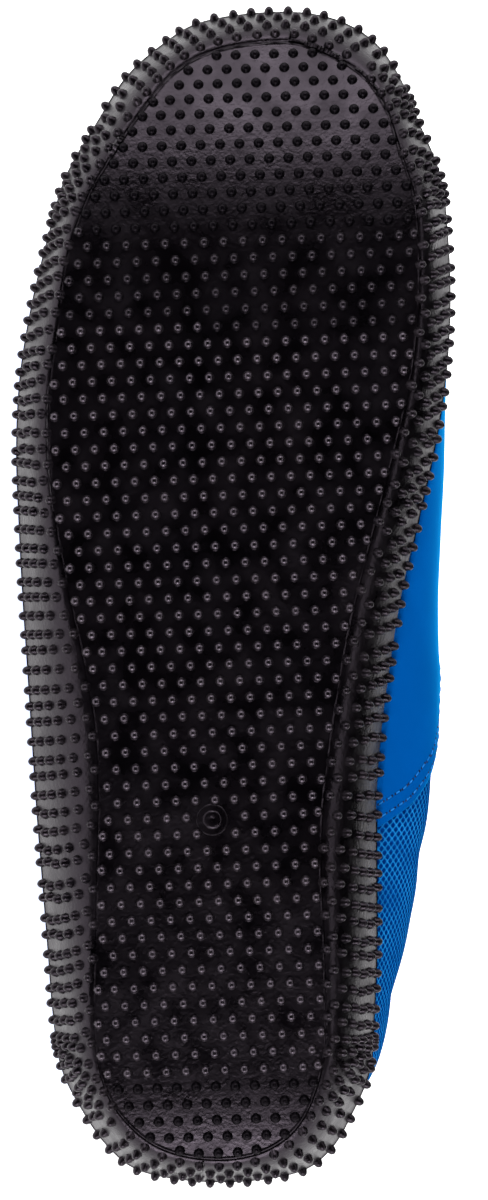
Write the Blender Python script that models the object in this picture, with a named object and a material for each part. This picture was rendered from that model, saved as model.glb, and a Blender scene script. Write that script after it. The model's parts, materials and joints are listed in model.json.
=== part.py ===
"""A right water shoe: a moulded rubber cup sole, a sock-like mesh upper with a smooth side panel,
a bound collar and a foam insole. It is built standing in its own frame (heel at x = 0, toe towards
+X, inner side of the foot towards +Y, tread plane at z = 0) and then laid on its outer side. The
sole's skin runs over the tips of its nubs, so that the shoe rests on them."""

import math

import bmesh
import bpy
import numpy as np
from mathutils import Matrix, Vector, geometry

# Driving sizes in metres.
SOLE_LENGTH = 0.2785
BALL_WIDTH = 0.105
TREAD_START = 0.0384 * SOLE_LENGTH
TREAD_LENGTH = 0.922 * SOLE_LENGTH
RIM_HEIGHT = 0.020
TOE_SPRING = 0.012
TOE_BREAK = 0.7695 * SOLE_LENGTH
HEEL_LIFT = 0.0018
HEEL_BREAK = 0.1124 * SOLE_LENGTH
ARCH_RISE = 0.0025
SOLE_PLATE = 0.0042
SOLE_WALL = 0.0027
PARTING_DEPTH = 0.0006
PARTING_WIDTH = 0.0014
GATE_RADIUS = 0.0034
GATE_BOSS_RADIUS = 0.0021
GATE_DEPTH = 0.0013
GATE_X = 0.317 * SOLE_LENGTH
GATE_Y = -0.0686 * BALL_WIDTH
INSTEP_HEIGHT = 0.084
UPPER_WALL = 0.0018
PANEL_WALL = 0.0009
INSOLE_THICKNESS = 0.0030
BINDING_STEP = 0.0008
PANEL_CLEARANCE = 0.0014
CLEARANCE = 0.0004

# Densities in kg per cubic metre, for the balance of the resting shoe.
RUBBER_DENSITY = 950.0
TEXTILE_DENSITY = 380.0
FOAM_DENSITY = 160.0

# Slopes of the sole's side in degrees above the horizontal, at the tread's edge and at the rim.
EDGE_SLOPE = 10.0
WALL_SLOPE = 66.0
RIM_HANDLE = 0.5

# Where the arch lies and how far it runs, as shares of the tread's length.
ARCH_ALONG = 0.42
ARCH_SPAN = 0.20

# The tread's middle line, as a share of its length.
SPINE_LENGTH = 0.88

# Section angle from which the ridge turns towards the toe, outward lean of the wall under the
# collar, step for slopes, and the distance within which points are one.
RIDGE_TURN = 2.3
COLLAR_FLARE = 0.30
ANGLE_STEP = 0.01
MERGE_DISTANCE = 0.00001

# Least cosine between the way down and the outer side, for a face that the shoe may rest on.
OUTER_SIDE = 0.8

# Outlines of the sole, one row for each section. "along" runs from heel to toe as a share of each
# outline's own length, the sideways columns are shares of half the ball width, positive towards
# the inner side, and "rim" is a share of the rim height.
SOLE_COLUMNS = ("along", "tread_in", "tread_out", "rim_in", "rim_out", "rim")
SOLE_TABLE = (
    (0.00, -0.110, -0.110, -0.10, -0.10, 1.15),
    (0.01, 0.110, -0.355, 0.27, -0.475, 1.15),
    (0.03, 0.230, -0.490, 0.41, -0.62, 1.14),
    (0.06, 0.305, -0.592, 0.505, -0.735, 1.12),
    (0.10, 0.350, -0.640, 0.59, -0.84, 1.09),
    (0.15, 0.350, -0.650, 0.61, -0.88, 1.05),
    (0.20, 0.345, -0.640, 0.62, -0.90, 1.02),
    (0.26, 0.332, -0.635, 0.62, -0.925, 1.00),
    (0.32, 0.345, -0.628, 0.62, -0.95, 0.98),
    (0.38, 0.385, -0.640, 0.64, -0.97, 0.96),
    (0.44, 0.430, -0.690, 0.68, -0.99, 0.94),
    (0.50, 0.490, -0.755, 0.73, -1.01, 0.91),
    (0.56, 0.565, -0.810, 0.80, -1.025, 0.87),
    (0.62, 0.640, -0.840, 0.87, -1.035, 0.84),
    (0.68, 0.710, -0.842, 0.92, -1.02, 0.82),
    (0.74, 0.750, -0.805, 0.94, -0.97, 0.82),
    (0.80, 0.757, -0.765, 0.93, -0.895, 0.85),
    (0.85, 0.740, -0.683, 0.90, -0.82, 0.90),
    (0.90, 0.672, -0.550, 0.80, -0.675, 1.00),
    (0.94, 0.610, -0.422, 0.715, -0.545, 1.12),
    (0.97, 0.505, -0.305, 0.61, -0.38, 1.24),
    (0.99, 0.343, -0.143, 0.46, -0.21, 1.33),
    (1.00, 0.178, 0.178, 0.19, 0.19, 1.36),
)

# The collar's edge above each section of the rim, from the heel to the throat. "x" is a share of
# the sole's length, "z" of the instep height, and the sideways columns are as above. "upright" is
# 1 where the wall ends standing and 0 where it lies across the instep.
THROAT_ALONG = 0.46
COLLAR_COLUMNS = ("along", "x", "z", "top_in", "top_out", "upright")
COLLAR_TABLE = (
    (0.00, 0.030, 0.860, -0.06, -0.06, 1.0),
    (0.01, 0.033, 0.856, 0.10, -0.20, 1.0),
    (0.03, 0.045, 0.842, 0.24, -0.31, 1.0),
    (0.06, 0.072, 0.815, 0.36, -0.40, 1.0),
    (0.10, 0.110, 0.775, 0.47, -0.47, 1.0),
    (0.15, 0.157, 0.725, 0.56, -0.53, 1.0),
    (0.20, 0.203, 0.690, 0.64, -0.57, 1.0),
    (0.26, 0.258, 0.685, 0.70, -0.59, 1.0),
    (0.30, 0.297, 0.725, 0.70, -0.59, 0.97),
    (0.34, 0.337, 0.795, 0.64, -0.54, 0.90),
    (0.38, 0.376, 0.873, 0.53, -0.44, 0.75),
    (0.41, 0.400, 0.925, 0.41, -0.31, 0.58),
    (0.44, 0.4145, 0.958, 0.24, -0.07, 0.33),
    (0.46, 0.418, 0.968, 0.09, 0.09, 0.0),
)

# The ridge of the instep and toes, where the two sides meet, from the throat to the toe.
RIDGE_COLUMNS = ("along", "x", "y", "z")
RIDGE_TABLE = (
    (0.46, 0.418, 0.09, 0.968),
    (0.50, 0.455, 0.10, 0.930),
    (0.56, 0.512, 0.13, 0.855),
    (0.62, 0.570, 0.16, 0.776),
    (0.68, 0.628, 0.19, 0.704),
    (0.74, 0.684, 0.21, 0.643),
    (0.80, 0.738, 0.22, 0.592),
    (0.85, 0.780, 0.225, 0.548),
    (0.90, 0.820, 0.23, 0.512),
    (0.94, 0.850, 0.23, 0.490),
    (0.97, 0.868, 0.225, 0.479),
    (0.99, 0.877, 0.22, 0.474),
    (1.00, 0.880, 0.21, 0.472),
)

# How the wall leaves the rim and comes to its top edge. "lean" is degrees outwards from upright,
# and the pulls are shares of the straight distance from rim to top.
WALL_COLUMNS = ("along", "lean_in", "lean_out", "rim_pull_in", "rim_pull_out", "top_pull_in", "top_pull_out")
WALL_TABLE = (
    (0.00, 6.0, 6.0, 0.42, 0.42, 0.40, 0.40),
    (0.06, 18.0, 6.0, 0.44, 0.42, 0.40, 0.40),
    (0.15, 36.0, 2.0, 0.50, 0.42, 0.44, 0.42),
    (0.26, 47.0, -2.0, 0.63, 0.42, 0.52, 0.44),
    (0.34, 51.0, -2.0, 0.67, 0.42, 0.57, 0.46),
    (0.42, 49.0, -2.0, 0.58, 0.44, 0.51, 0.48),
    (0.50, 43.0, -2.0, 0.52, 0.44, 0.48, 0.48),
    (0.60, 28.0, -3.0, 0.46, 0.44, 0.50, 0.48),
    (0.70, 6.0, -4.0, 0.45, 0.44, 0.48, 0.48),
    (0.85, -2.0, -4.0, 0.50, 0.45, 0.48, 0.48),
    (1.00, 0.0, 0.0, 0.38, 0.38, 0.38, 0.38),
)

# Rear edge of the smooth panel in side view: "z" is a share of the instep height, and the others
# are shares of the sole's length on the inner and the outer side.
PANEL_COLUMNS = ("z", "edge_in", "edge_out")
PANEL_EDGE = (
    (0.10, 0.285, 0.300),
    (0.22, 0.300, 0.315),
    (0.33, 0.322, 0.335),
    (0.42, 0.350, 0.358),
    (0.49, 0.385, 0.382),
    (0.55, 0.425, 0.404),
    (0.62, 0.465, 0.420),
    (0.71, 0.495, 0.440),
    (0.82, 0.515, 0.470),
    (0.95, 0.525, 0.505),
    (1.15, 0.530, 0.530),
)

# Counts of the sections, and the shares at which each skin has a row of points. The rows past
# BINDING_ROW carry the collar's binding, which fades out over the last sections to the throat.
HEEL_SECTIONS = 20
TOE_SECTIONS = 20
SIDE_ROWS = (0.0, 0.26, 0.60, 0.80, 1.0)
FREE_ROWS = (0.0, 0.13, 0.24, 0.33, 0.40, 0.47, 0.54, 0.61, 0.70, 0.81, 0.91, 0.93, 1.0)
PANEL_ROWS = (0.0, 0.13, 0.24, 0.33, 0.40, 0.435, 0.47, 0.505, 0.54, 0.575, 0.61, 0.655, 0.70, 0.81, 1.0)
BINDING_ROW = 0.92
BINDING_FADE = 0.30
GATE_SIDES = 20

UP = np.array([0.0, 0.0, 1.0])
THROAT_ANGLE = math.acos(1.0 - 2.0 * THROAT_ALONG)


def section_angle(along):
    """Angle whose versine runs with the share, so that round ends stay round."""
    return np.arccos(np.clip(1.0 - 2.0 * np.asarray(along, float), -1.0, 1.0))


def column(columns, table, name, angle):
    """One column of a table, read smoothly at the given section angles."""
    rows = np.array(table, float)
    knots = section_angle(rows[:, 0])
    values = rows[:, columns.index(name)]
    slopes = np.gradient(values, knots)
    k = np.clip(np.searchsorted(knots, angle) - 1, 0, len(knots) - 2)
    width = knots[k + 1] - knots[k]
    t = (angle - knots[k]) / width
    return (
        (2 * t**3 - 3 * t**2 + 1) * values[k]
        + (t**3 - 2 * t**2 + t) * width * slopes[k]
        + (3 * t**2 - 2 * t**3) * values[k + 1]
        + (t**3 - t**2) * width * slopes[k + 1]
    )


def side_column(columns, table, name, angle, inner):
    """A pair of columns NAME_in and NAME_out, read on the side that each section is on."""
    return np.where(
        inner,
        column(columns, table, name + "_in", angle),
        column(columns, table, name + "_out", angle),
    )


def unit(vectors):
    return vectors / np.maximum(np.linalg.norm(vectors, axis=-1, keepdims=True), 1e-12)


def bezier(a, b, c, d, t):
    return (1 - t) ** 3 * a + 3 * t * (1 - t) ** 2 * b + 3 * t**2 * (1 - t) * c + t**3 * d


def loop_sections():
    """Section angles once round the shoe: heel, inner side, toe, outer side."""
    rear = np.linspace(0.0, THROAT_ANGLE, HEEL_SECTIONS + 1)
    front = np.linspace(THROAT_ANGLE, math.pi, TOE_SECTIONS + 1)[1:]
    half = np.concatenate([rear, front])
    angle = np.concatenate([half, half[-2:0:-1]])
    inner = np.arange(len(angle)) < len(half)
    return angle, inner


def tread_lift(x, y, centre, edge_in):
    """Height of the tread above the ground: toe spring, rounded heel and arch."""
    toe = np.clip((x - TOE_BREAK) / (TREAD_START + TREAD_LENGTH - TOE_BREAK), 0.0, None)
    heel = np.clip((HEEL_BREAK - x) / (HEEL_BREAK - TREAD_START), 0.0, None)
    along = (x - TREAD_START) / TREAD_LENGTH
    waist = np.clip(1.0 - ((along - ARCH_ALONG) / ARCH_SPAN) ** 2, 0.0, 1.0) ** 2
    inwards = np.clip((y - centre) / np.maximum(edge_in - centre, 1e-6), 0.0, 1.0)
    return TOE_SPRING * toe**2 + HEEL_LIFT * heel**2 + ARCH_RISE * waist * inwards**2


def tread_points(angle, inner, share):
    """Points of the tread, from the middle line (share 0) to the tread's edge (share 1)."""
    half = BALL_WIDTH / 2
    length = TREAD_LENGTH * (SPINE_LENGTH + (1.0 - SPINE_LENGTH) * share)
    x = TREAD_START + (TREAD_LENGTH - length * np.cos(angle)) / 2
    edge_in = half * column(SOLE_COLUMNS, SOLE_TABLE, "tread_in", angle)
    edge_out = half * column(SOLE_COLUMNS, SOLE_TABLE, "tread_out", angle)
    centre = (edge_in + edge_out) / 2
    y = centre + share * (np.where(inner, edge_in, edge_out) - centre)
    return np.stack([x, y, tread_lift(x, y, centre, edge_in)], axis=-1)


def rim_points(angle, inner):
    """Points of the sole's outer rim."""
    x = SOLE_LENGTH * (1.0 - np.cos(angle)) / 2
    y = BALL_WIDTH / 2 * side_column(SOLE_COLUMNS, SOLE_TABLE, "rim", angle, inner)
    z = RIM_HEIGHT * column(SOLE_COLUMNS, SOLE_TABLE, "rim", angle)
    return np.stack([x, y, z], axis=-1)


def rim_normals(angle, inner):
    """Level unit directions straight out of the rim."""
    before = rim_points(np.maximum(angle - ANGLE_STEP, 0.0), inner)
    after = rim_points(np.minimum(angle + ANGLE_STEP, math.pi), inner)
    tangent = unit((after - before) * (1.0, 1.0, 0.0))
    turned = np.stack([-tangent[:, 1], tangent[:, 0], tangent[:, 2]], axis=-1)
    return np.where(inner[:, None], turned, -turned)


def side_points(angle, inner, share):
    """Points of the sole's side, from the tread's edge (share 0) to the rim (share 1)."""
    edge = tread_points(angle, inner, 1.0)
    rim = rim_points(angle, inner)
    flat = (rim - edge) * (1.0, 1.0, 0.0)
    rise = (rim - edge)[:, 2:]
    edge_slope, wall_slope = math.radians(EDGE_SLOPE), math.radians(WALL_SLOPE)
    run = np.linalg.norm(flat, axis=-1, keepdims=True)
    near_edge = edge + RIM_HANDLE * (flat + UP * run * math.tan(edge_slope))
    lean = unit(flat) * math.cos(wall_slope) + UP * math.sin(wall_slope)
    return bezier(edge, near_edge, rim - RIM_HANDLE * rise * lean, rim, share)


def sole_skin():
    """Outer skin of the sole, from the tread's middle line over its edge to the rim."""
    angle, inner = loop_sections()
    middle = [tread_points(angle, inner, 0.0), tread_points(angle, inner, 0.5)]
    return middle + [side_points(angle, inner, share) for share in SIDE_ROWS]


def skin_normals(rings, welded_top=None):
    """Outward unit normals of a skin of closed rings. The two sides share the points of the
    first ring where welded_top is left out, or those of the last ring that it marks."""
    points = np.array(rings)
    lower, upper = points[:-1], points[1:]
    next_lower, next_upper = np.roll(lower, -1, axis=1), np.roll(upper, -1, axis=1)
    facet = np.cross(next_upper - lower, next_lower - upper)
    both = facet + np.roll(facet, 1, axis=1)
    normal = np.zeros_like(points)
    normal[:-1] += both
    normal[1:] += both
    mirror = (-np.arange(points.shape[1])) % points.shape[1]
    if welded_top is None:
        normal[0] = normal[0] + normal[0][mirror]
    else:
        normal[-1] += np.where(welded_top[:, None], normal[-1][mirror], 0.0)
    return unit(normal)


def sole_depths():
    """Thickness of the sole below each ring of its skin."""
    return [SOLE_PLATE, SOLE_PLATE] + [
        SOLE_PLATE + (SOLE_WALL - SOLE_PLATE) * share for share in SIDE_ROWS
    ]


def sole_offset(extra):
    """Rings that lie inside the sole's skin by its thickness and an extra distance. The last
    ring stays level with the rim."""
    angle, inner = loop_sections()
    skin = sole_skin()
    normals = skin_normals(skin)
    rings = [
        ring - normal * (depth + extra) for ring, normal, depth in zip(skin, normals, sole_depths())
    ]
    rings[-1] = skin[-1] - rim_normals(angle, inner) * (SOLE_WALL + extra)
    return rings


def ridge_points(angle):
    """Points of the ridge, in front of the throat."""
    x = SOLE_LENGTH * column(RIDGE_COLUMNS, RIDGE_TABLE, "x", angle)
    y = BALL_WIDTH / 2 * column(RIDGE_COLUMNS, RIDGE_TABLE, "y", angle)
    z = INSTEP_HEIGHT * column(RIDGE_COLUMNS, RIDGE_TABLE, "z", angle)
    return np.stack([x, y, z], axis=-1)


def top_points(angle, inner):
    """Points of the upper's top edge: collar, then ridge."""
    behind = np.minimum(angle, THROAT_ANGLE)
    x = SOLE_LENGTH * column(COLLAR_COLUMNS, COLLAR_TABLE, "x", behind)
    y = BALL_WIDTH / 2 * side_column(COLLAR_COLUMNS, COLLAR_TABLE, "top", behind, inner)
    z = INSTEP_HEIGHT * column(COLLAR_COLUMNS, COLLAR_TABLE, "z", behind)
    collar = np.stack([x, y, z], axis=-1)
    ridge = ridge_points(np.maximum(angle, THROAT_ANGLE))
    return np.where(angle[:, None] < THROAT_ANGLE, collar, ridge)


def ridge_slopes(angle):
    """Rise of the ridge for each metre forwards."""
    before = np.clip(angle - ANGLE_STEP, THROAT_ANGLE, math.pi - 2 * ANGLE_STEP)
    change = ridge_points(before + 2 * ANGLE_STEP) - ridge_points(before)
    return change[:, 2:] / np.maximum(change[:, :1], 1e-9)


def top_directions(angle, inner):
    """Unit directions in which the wall leaves its top edge, downwards from the collar and
    across the ridge."""
    out = rim_normals(angle, inner)
    turn = np.clip((angle - RIDGE_TURN) / (math.pi - RIDGE_TURN), 0.0, 1.0) ** 2 * math.pi / 2
    side = np.where(inner, 1.0, -1.0)
    level = np.stack([np.sin(turn), side * np.cos(turn), np.zeros_like(turn)], axis=-1)
    across = unit(level + UP * level[:, :1] * ridge_slopes(angle))
    down = unit(COLLAR_FLARE * out - UP)
    behind = np.minimum(angle, THROAT_ANGLE)
    upright = column(COLLAR_COLUMNS, COLLAR_TABLE, "upright", behind)[:, None]
    return unit((1.0 - upright) * across + upright * down)


def free_points(angle, inner, share):
    """Points of the upper's wall, from inside the rim (share 0) to the top edge (share 1)."""
    out = rim_normals(angle, inner)
    foot = rim_points(angle, inner) - out * (SOLE_WALL + CLEARANCE)
    top = top_points(angle, inner)
    chord = np.linalg.norm(top - foot, axis=-1, keepdims=True)
    lean = np.radians(side_column(WALL_COLUMNS, WALL_TABLE, "lean", angle, inner))[:, None]
    rim_pull = side_column(WALL_COLUMNS, WALL_TABLE, "rim_pull", angle, inner)[:, None]
    top_pull = side_column(WALL_COLUMNS, WALL_TABLE, "top_pull", angle, inner)[:, None]
    near_foot = foot + rim_pull * chord * (out * np.sin(lean) + UP * np.cos(lean))
    near_top = top + top_pull * chord * top_directions(angle, inner)
    share = np.reshape(share, (-1, 1))
    return bezier(foot, near_foot, near_top, top, share)


def upper_skin():
    """Outer skin of the upper, from deep inside the cup of the sole to the top edge, with the
    collar's binding as a step."""
    angle, inner = loop_sections()
    buried = sole_offset(CLEARANCE)[-3:-1]
    skin = buried + [free_points(angle, inner, share) for share in FREE_ROWS]
    normals = skin_normals(skin, angle > THROAT_ANGLE - ANGLE_STEP)
    fade = np.clip((THROAT_ANGLE - angle) / BINDING_FADE, 0.0, 1.0)[:, None]
    for row, share in enumerate(FREE_ROWS, start=len(buried)):
        if share > BINDING_ROW:
            skin[row] = skin[row] + normals[row] * fade * BINDING_STEP
    return skin


def panel_edge_angle(share, inner):
    """Section angle at which the wall crosses the panel's rear edge, found by halving."""
    edge = np.array(PANEL_EDGE)
    edge_x = edge[:, PANEL_COLUMNS.index("edge_in" if inner else "edge_out")]
    flags = np.array([inner])
    low, high = section_angle(0.1), section_angle(0.9)
    for _ in range(30):
        middle = (low + high) / 2
        x, _, z = free_points(np.array([middle]), flags, share)[0]
        if x < SOLE_LENGTH * np.interp(z / INSTEP_HEIGHT, edge[:, 0], edge_x):
            low = middle
        else:
            high = middle
    return middle


def panel_foot_share(angle, inner):
    """Share of the wall at which the panel starts, just clear of the sole's rim."""
    lean = np.radians(side_column(WALL_COLUMNS, WALL_TABLE, "lean", angle, inner))
    pull = side_column(WALL_COLUMNS, WALL_TABLE, "rim_pull", angle, inner)
    reach = free_points(angle, inner, 1.0) - free_points(angle, inner, 0.0)
    chord = np.linalg.norm(reach, axis=-1)
    height = CLEARANCE + (PANEL_CLEARANCE + PANEL_WALL) * np.maximum(np.sin(lean), 0.0)
    return 1.5 * height / np.cos(lean) / (3.0 * pull * chord)


def panel_skin():
    """Rings of the upper's wall that the panel covers, from its inner rear edge round the toe to
    its outer rear edge, and from the rim to the ridge. Sections behind the edge are drawn up to
    it, where their points merge."""
    angle, inner = loop_sections()
    rings = []
    for share in PANEL_ROWS:
        edge_in, edge_out = panel_edge_angle(share, True), panel_edge_angle(share, False)
        clipped = np.maximum(angle, np.where(inner, edge_in, edge_out))[1:]
        foot = panel_foot_share(clipped, inner[1:])
        rings.append(free_points(clipped, inner[1:], foot + (1.0 - foot) * share))
    return rings


def add_rings(mesh, rings, closed_loops=True, closed_section=False):
    """Faces between each ring and the next, facing out, with shared points merged."""
    verts = [[mesh.verts.new(point) for point in ring] for ring in rings]
    pairs = list(zip(verts[:-1], verts[1:]))
    if closed_section:
        pairs.append((verts[-1], verts[0]))
    for lower, upper in pairs:
        for i in range(len(lower) if closed_loops else len(lower) - 1):
            j = (i + 1) % len(lower)
            mesh.faces.new((lower[i], upper[i], upper[j], lower[j]))
    bmesh.ops.remove_doubles(mesh, verts=mesh.verts, dist=MERGE_DISTANCE)


def surface(name, colour, roughness):
    """A Principled material."""
    material = bpy.data.materials.new(name)
    material.use_nodes = True
    shader = material.node_tree.nodes["Principled BSDF"]
    shader.inputs["Base Color"].default_value = (*colour, 1.0)
    shader.inputs["Roughness"].default_value = roughness
    return material


def add_object(name, mesh, material, parent):
    """Object of the finished bmesh, shaded smooth and riding on the shoe's empty."""
    data = bpy.data.meshes.new(name)
    mesh.to_mesh(data)
    mesh.free()
    data.shade_smooth()
    data.set_sharp_from_angle(angle=math.radians(40))
    data.materials.append(material)
    piece = bpy.data.objects.new(name, data)
    piece.parent = parent
    bpy.context.scene.collection.objects.link(piece)
    return piece


def solidify(piece, thickness, offset):
    """Gives an open skin its wall: inwards for offset -1, outwards for +1."""
    wall = piece.modifiers.new("wall", "SOLIDIFY")
    wall.thickness = thickness
    wall.offset = offset
    wall.use_even_offset = False
    wall.use_rim = True


def add_gate_cutter(parent, material):
    """Ring that cuts the moulding gate's mark into the tread."""
    turn = np.linspace(0.0, 2 * math.pi, GATE_SIDES, endpoint=False)
    circle = np.stack([np.cos(turn), np.sin(turn), np.zeros(GATE_SIDES)], axis=-1)
    centre = np.array([GATE_X, GATE_Y, 0.0])
    rings = [
        centre + circle * radius + UP * height
        for radius, height in (
            (GATE_BOSS_RADIUS, GATE_DEPTH),
            (GATE_RADIUS, GATE_DEPTH),
            (GATE_RADIUS, -GATE_DEPTH),
            (GATE_BOSS_RADIUS, -GATE_DEPTH),
        )
    ]
    mesh = bmesh.new()
    add_rings(mesh, rings, closed_section=True)
    bmesh.ops.recalc_face_normals(mesh, faces=mesh.faces)
    cutter = add_object("gate_mark_cutter", mesh, material, parent)
    cutter.hide_render = True
    cutter.display_type = "WIRE"
    return cutter


def add_outsole(parent):
    """Cup sole: tread, parting groove, flared side and a level lip round the upper."""
    angle, inner = loop_sections()
    skin = sole_skin()
    outwards = unit((skin[3] - skin[2]) * (1.0, 1.0, 0.0))
    before = skin[2] - outwards * PARTING_WIDTH / 2
    groove = skin[2] + UP * PARTING_DEPTH
    run = np.linalg.norm((skin[-1] - skin[2]) * (1.0, 1.0, 0.0), axis=-1)
    after = side_points(angle, inner, (PARTING_WIDTH / 6 / RIM_HANDLE / run)[:, None])
    outside = skin[:2] + [before, groove, after] + skin[3:]
    mesh = bmesh.new()
    add_rings(mesh, outside + sole_offset(0.0)[::-1])
    rubber = surface("outsole_rubber", (0.022, 0.020, 0.024), 0.55)
    outsole = add_object("outsole", mesh, rubber, parent)
    cut = outsole.modifiers.new("gate_mark", "BOOLEAN")
    cut.object = add_gate_cutter(parent, rubber)
    cut.operation = "DIFFERENCE"
    return outsole


def add_insole(parent):
    """Foam sheet on the floor of the cup."""
    under = sole_offset(CLEARANCE)[:3]
    over = sole_offset(CLEARANCE + INSOLE_THICKNESS)[:3]
    mesh = bmesh.new()
    add_rings(mesh, under + over[::-1])
    foam = surface("insole_foam", (0.05, 0.05, 0.055), 0.9)
    return add_object("insole", mesh, foam, parent)


def add_upper(parent):
    """Sock-like upper: one wall, open at the collar and where the sole closes it."""
    mesh = bmesh.new()
    add_rings(mesh, upper_skin())
    knit = surface("upper_knit", (0.01, 0.06, 0.25), 0.85)
    upper = add_object("upper", mesh, knit, parent)
    solidify(upper, UPPER_WALL, -1.0)
    return upper


def add_panel(parent):
    """Smooth panel over the forefoot, lifted off the upper's own wall by the clearance."""
    mesh = bmesh.new()
    add_rings(mesh, panel_skin(), closed_loops=False)
    mesh.normal_update()
    for vert in mesh.verts:
        vert.co += vert.normal * PANEL_CLEARANCE
    film = surface("side_panel_film", (0.0, 0.20, 0.62), 0.3)
    panel = add_object("vamp_panel", mesh, film, parent)
    solidify(panel, PANEL_WALL, 1.0)
    return panel


def evaluated_points(piece):
    """Corners of a piece with its modifiers, in the shoe's frame, with its volume and the
    volume's first moment."""
    held = piece.evaluated_get(bpy.context.evaluated_depsgraph_get())
    data = held.to_mesh()
    data.calc_loop_triangles()
    points = np.array([vert.co for vert in data.vertices])
    corners = points[np.array([triangle.vertices for triangle in data.loop_triangles])]
    held.to_mesh_clear()
    volumes = np.einsum("ij,ij->i", corners[:, 0], np.cross(corners[:, 1], corners[:, 2])) / 6
    return points, volumes.sum(), (volumes[:, None] * corners.sum(axis=1) / 4).sum(axis=0)


def resting_matrix(pieces, densities):
    """Places the shoe on its outer side: on the face of its hull that its weight falls through, or
    failing that the one nearest to it, toe towards -X, with the box's bottom centre at the origin."""
    clouds, weight, moment = [], 0.0, np.zeros(3)
    for piece, density in zip(pieces, densities):
        points, volume, first = evaluated_points(piece)
        clouds.append(points)
        weight += volume * density
        moment += first * density
    cloud = np.concatenate(clouds)
    balance = Vector(moment / weight)
    hull = bmesh.new()
    for point in cloud:
        hull.verts.new(point)
    bmesh.ops.convex_hull(hull, input=hull.verts)
    nearest, floor_up = math.inf, None
    for face in hull.faces:
        corners = [vert.co for vert in face.verts]
        normal = (corners[1] - corners[0]).cross(corners[2] - corners[0]).normalized()
        if normal.dot(balance - corners[0]) > 0:
            normal = -normal
        foot = balance + normal * normal.dot(corners[0] - balance)
        landed = geometry.closest_point_on_tri(foot, *corners[:3])
        if -normal.y > OUTER_SIDE and (foot - landed).length < nearest:
            nearest, floor_up = (foot - landed).length, -normal
    hull.free()
    toe = Vector((1.0, 0.0, 0.0))
    row_x = -(toe - floor_up * toe.dot(floor_up)).normalized()
    turn = Matrix((row_x, floor_up.cross(row_x), floor_up))
    laid = cloud @ np.array(turn).T
    low, high = laid.min(axis=0), laid.max(axis=0)
    shift = Vector((-(low[0] + high[0]) / 2, -(low[1] + high[1]) / 2, -low[2]))
    return Matrix.Translation(shift) @ turn.to_4x4()


def build():
    for item in list(bpy.data.objects):
        bpy.data.objects.remove(item)
    shoe = bpy.data.objects.new("shoe", None)
    bpy.context.scene.collection.objects.link(shoe)
    pieces = [
        add_outsole(shoe),
        add_insole(shoe),
        add_upper(shoe),
        add_panel(shoe),
    ]
    densities = (RUBBER_DENSITY, FOAM_DENSITY, TEXTILE_DENSITY, TEXTILE_DENSITY)
    bpy.context.view_layer.update()
    shoe.matrix_world = resting_matrix(pieces, densities)


build()
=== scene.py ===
"""Looks of a right water shoe that lies on its outer side: a black rubber cup sole covered with
moulded nubs, a blue mesh upper, a smooth blue panel round the forefoot, a bound collar, a lining and
an insole. Shapes are worked out in the standing shoe's frame (heel at x = 0, toe towards +X, inner
side towards +Y, tread plane at z = 0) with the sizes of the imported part, and laid down at the end."""

import json
import math
import random

import bmesh
import bpy
import numpy as np
from mathutils import Matrix, Vector
from mathutils.bvhtree import BVHTree


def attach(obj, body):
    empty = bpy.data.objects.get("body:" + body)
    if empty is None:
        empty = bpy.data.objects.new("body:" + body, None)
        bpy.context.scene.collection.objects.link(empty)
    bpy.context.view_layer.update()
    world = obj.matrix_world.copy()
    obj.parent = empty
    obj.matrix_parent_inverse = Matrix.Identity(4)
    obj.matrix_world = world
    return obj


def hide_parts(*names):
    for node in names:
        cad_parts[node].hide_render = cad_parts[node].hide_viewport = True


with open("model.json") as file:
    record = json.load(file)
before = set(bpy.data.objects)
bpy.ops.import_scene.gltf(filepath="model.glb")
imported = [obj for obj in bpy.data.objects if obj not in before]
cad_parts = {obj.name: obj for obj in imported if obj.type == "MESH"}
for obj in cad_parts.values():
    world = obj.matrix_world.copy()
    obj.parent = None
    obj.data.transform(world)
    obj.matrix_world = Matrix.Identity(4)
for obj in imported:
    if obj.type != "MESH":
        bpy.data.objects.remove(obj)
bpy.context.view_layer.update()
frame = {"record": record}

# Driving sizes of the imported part, in metres, with its slopes in degrees, and its shares.
SOLE_LENGTH = 0.2785
BALL_WIDTH = 0.105
TREAD_START = 0.0384 * SOLE_LENGTH
TREAD_LENGTH = 0.922 * SOLE_LENGTH
RIM_HEIGHT = 0.020
TOE_SPRING = 0.012
TOE_BREAK = 0.7695 * SOLE_LENGTH
HEEL_LIFT = 0.0018
HEEL_BREAK = 0.1124 * SOLE_LENGTH
ARCH_RISE = 0.0025
SOLE_PLATE = 0.0042
SOLE_WALL = 0.0027
GATE_RADIUS = 0.0034
GATE_BOSS_RADIUS = 0.0021
GATE_GAP = 0.0012
GATE_X = 0.317 * SOLE_LENGTH
GATE_Y = -0.0686 * BALL_WIDTH
INSTEP_HEIGHT = 0.084
UPPER_WALL = 0.0018
PANEL_WALL = 0.0009
INSOLE_THICKNESS = 0.0030
PANEL_LIFT = 0.0006
CLEARANCE = 0.0004
EDGE_SLOPE = 10.0
WALL_SLOPE = 66.0
RIM_HANDLE = 0.5
ARCH_ALONG = 0.42
ARCH_SPAN = 0.20
SPINE_LENGTH = 0.88
RIDGE_TURN = 2.3
COLLAR_FLARE = 0.30
ANGLE_STEP = 0.01
MERGE_DISTANCE = 0.00001

# Where the two mounts of the tread lie in the standing shoe's frame.
HEEL_MOUNT = (0.050, -0.007)
BALL_MOUNT = (0.182, -0.002)

# The photograph: a camera straight in front of the tread, toe up.
CAMERA_PLACE = (0.1381, 0.0, -0.600)
CAMERA_LENS = 79.56
CAMERA_SENSOR = 36.0
CAMERA_CLIP = (0.01, 50.0)

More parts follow.
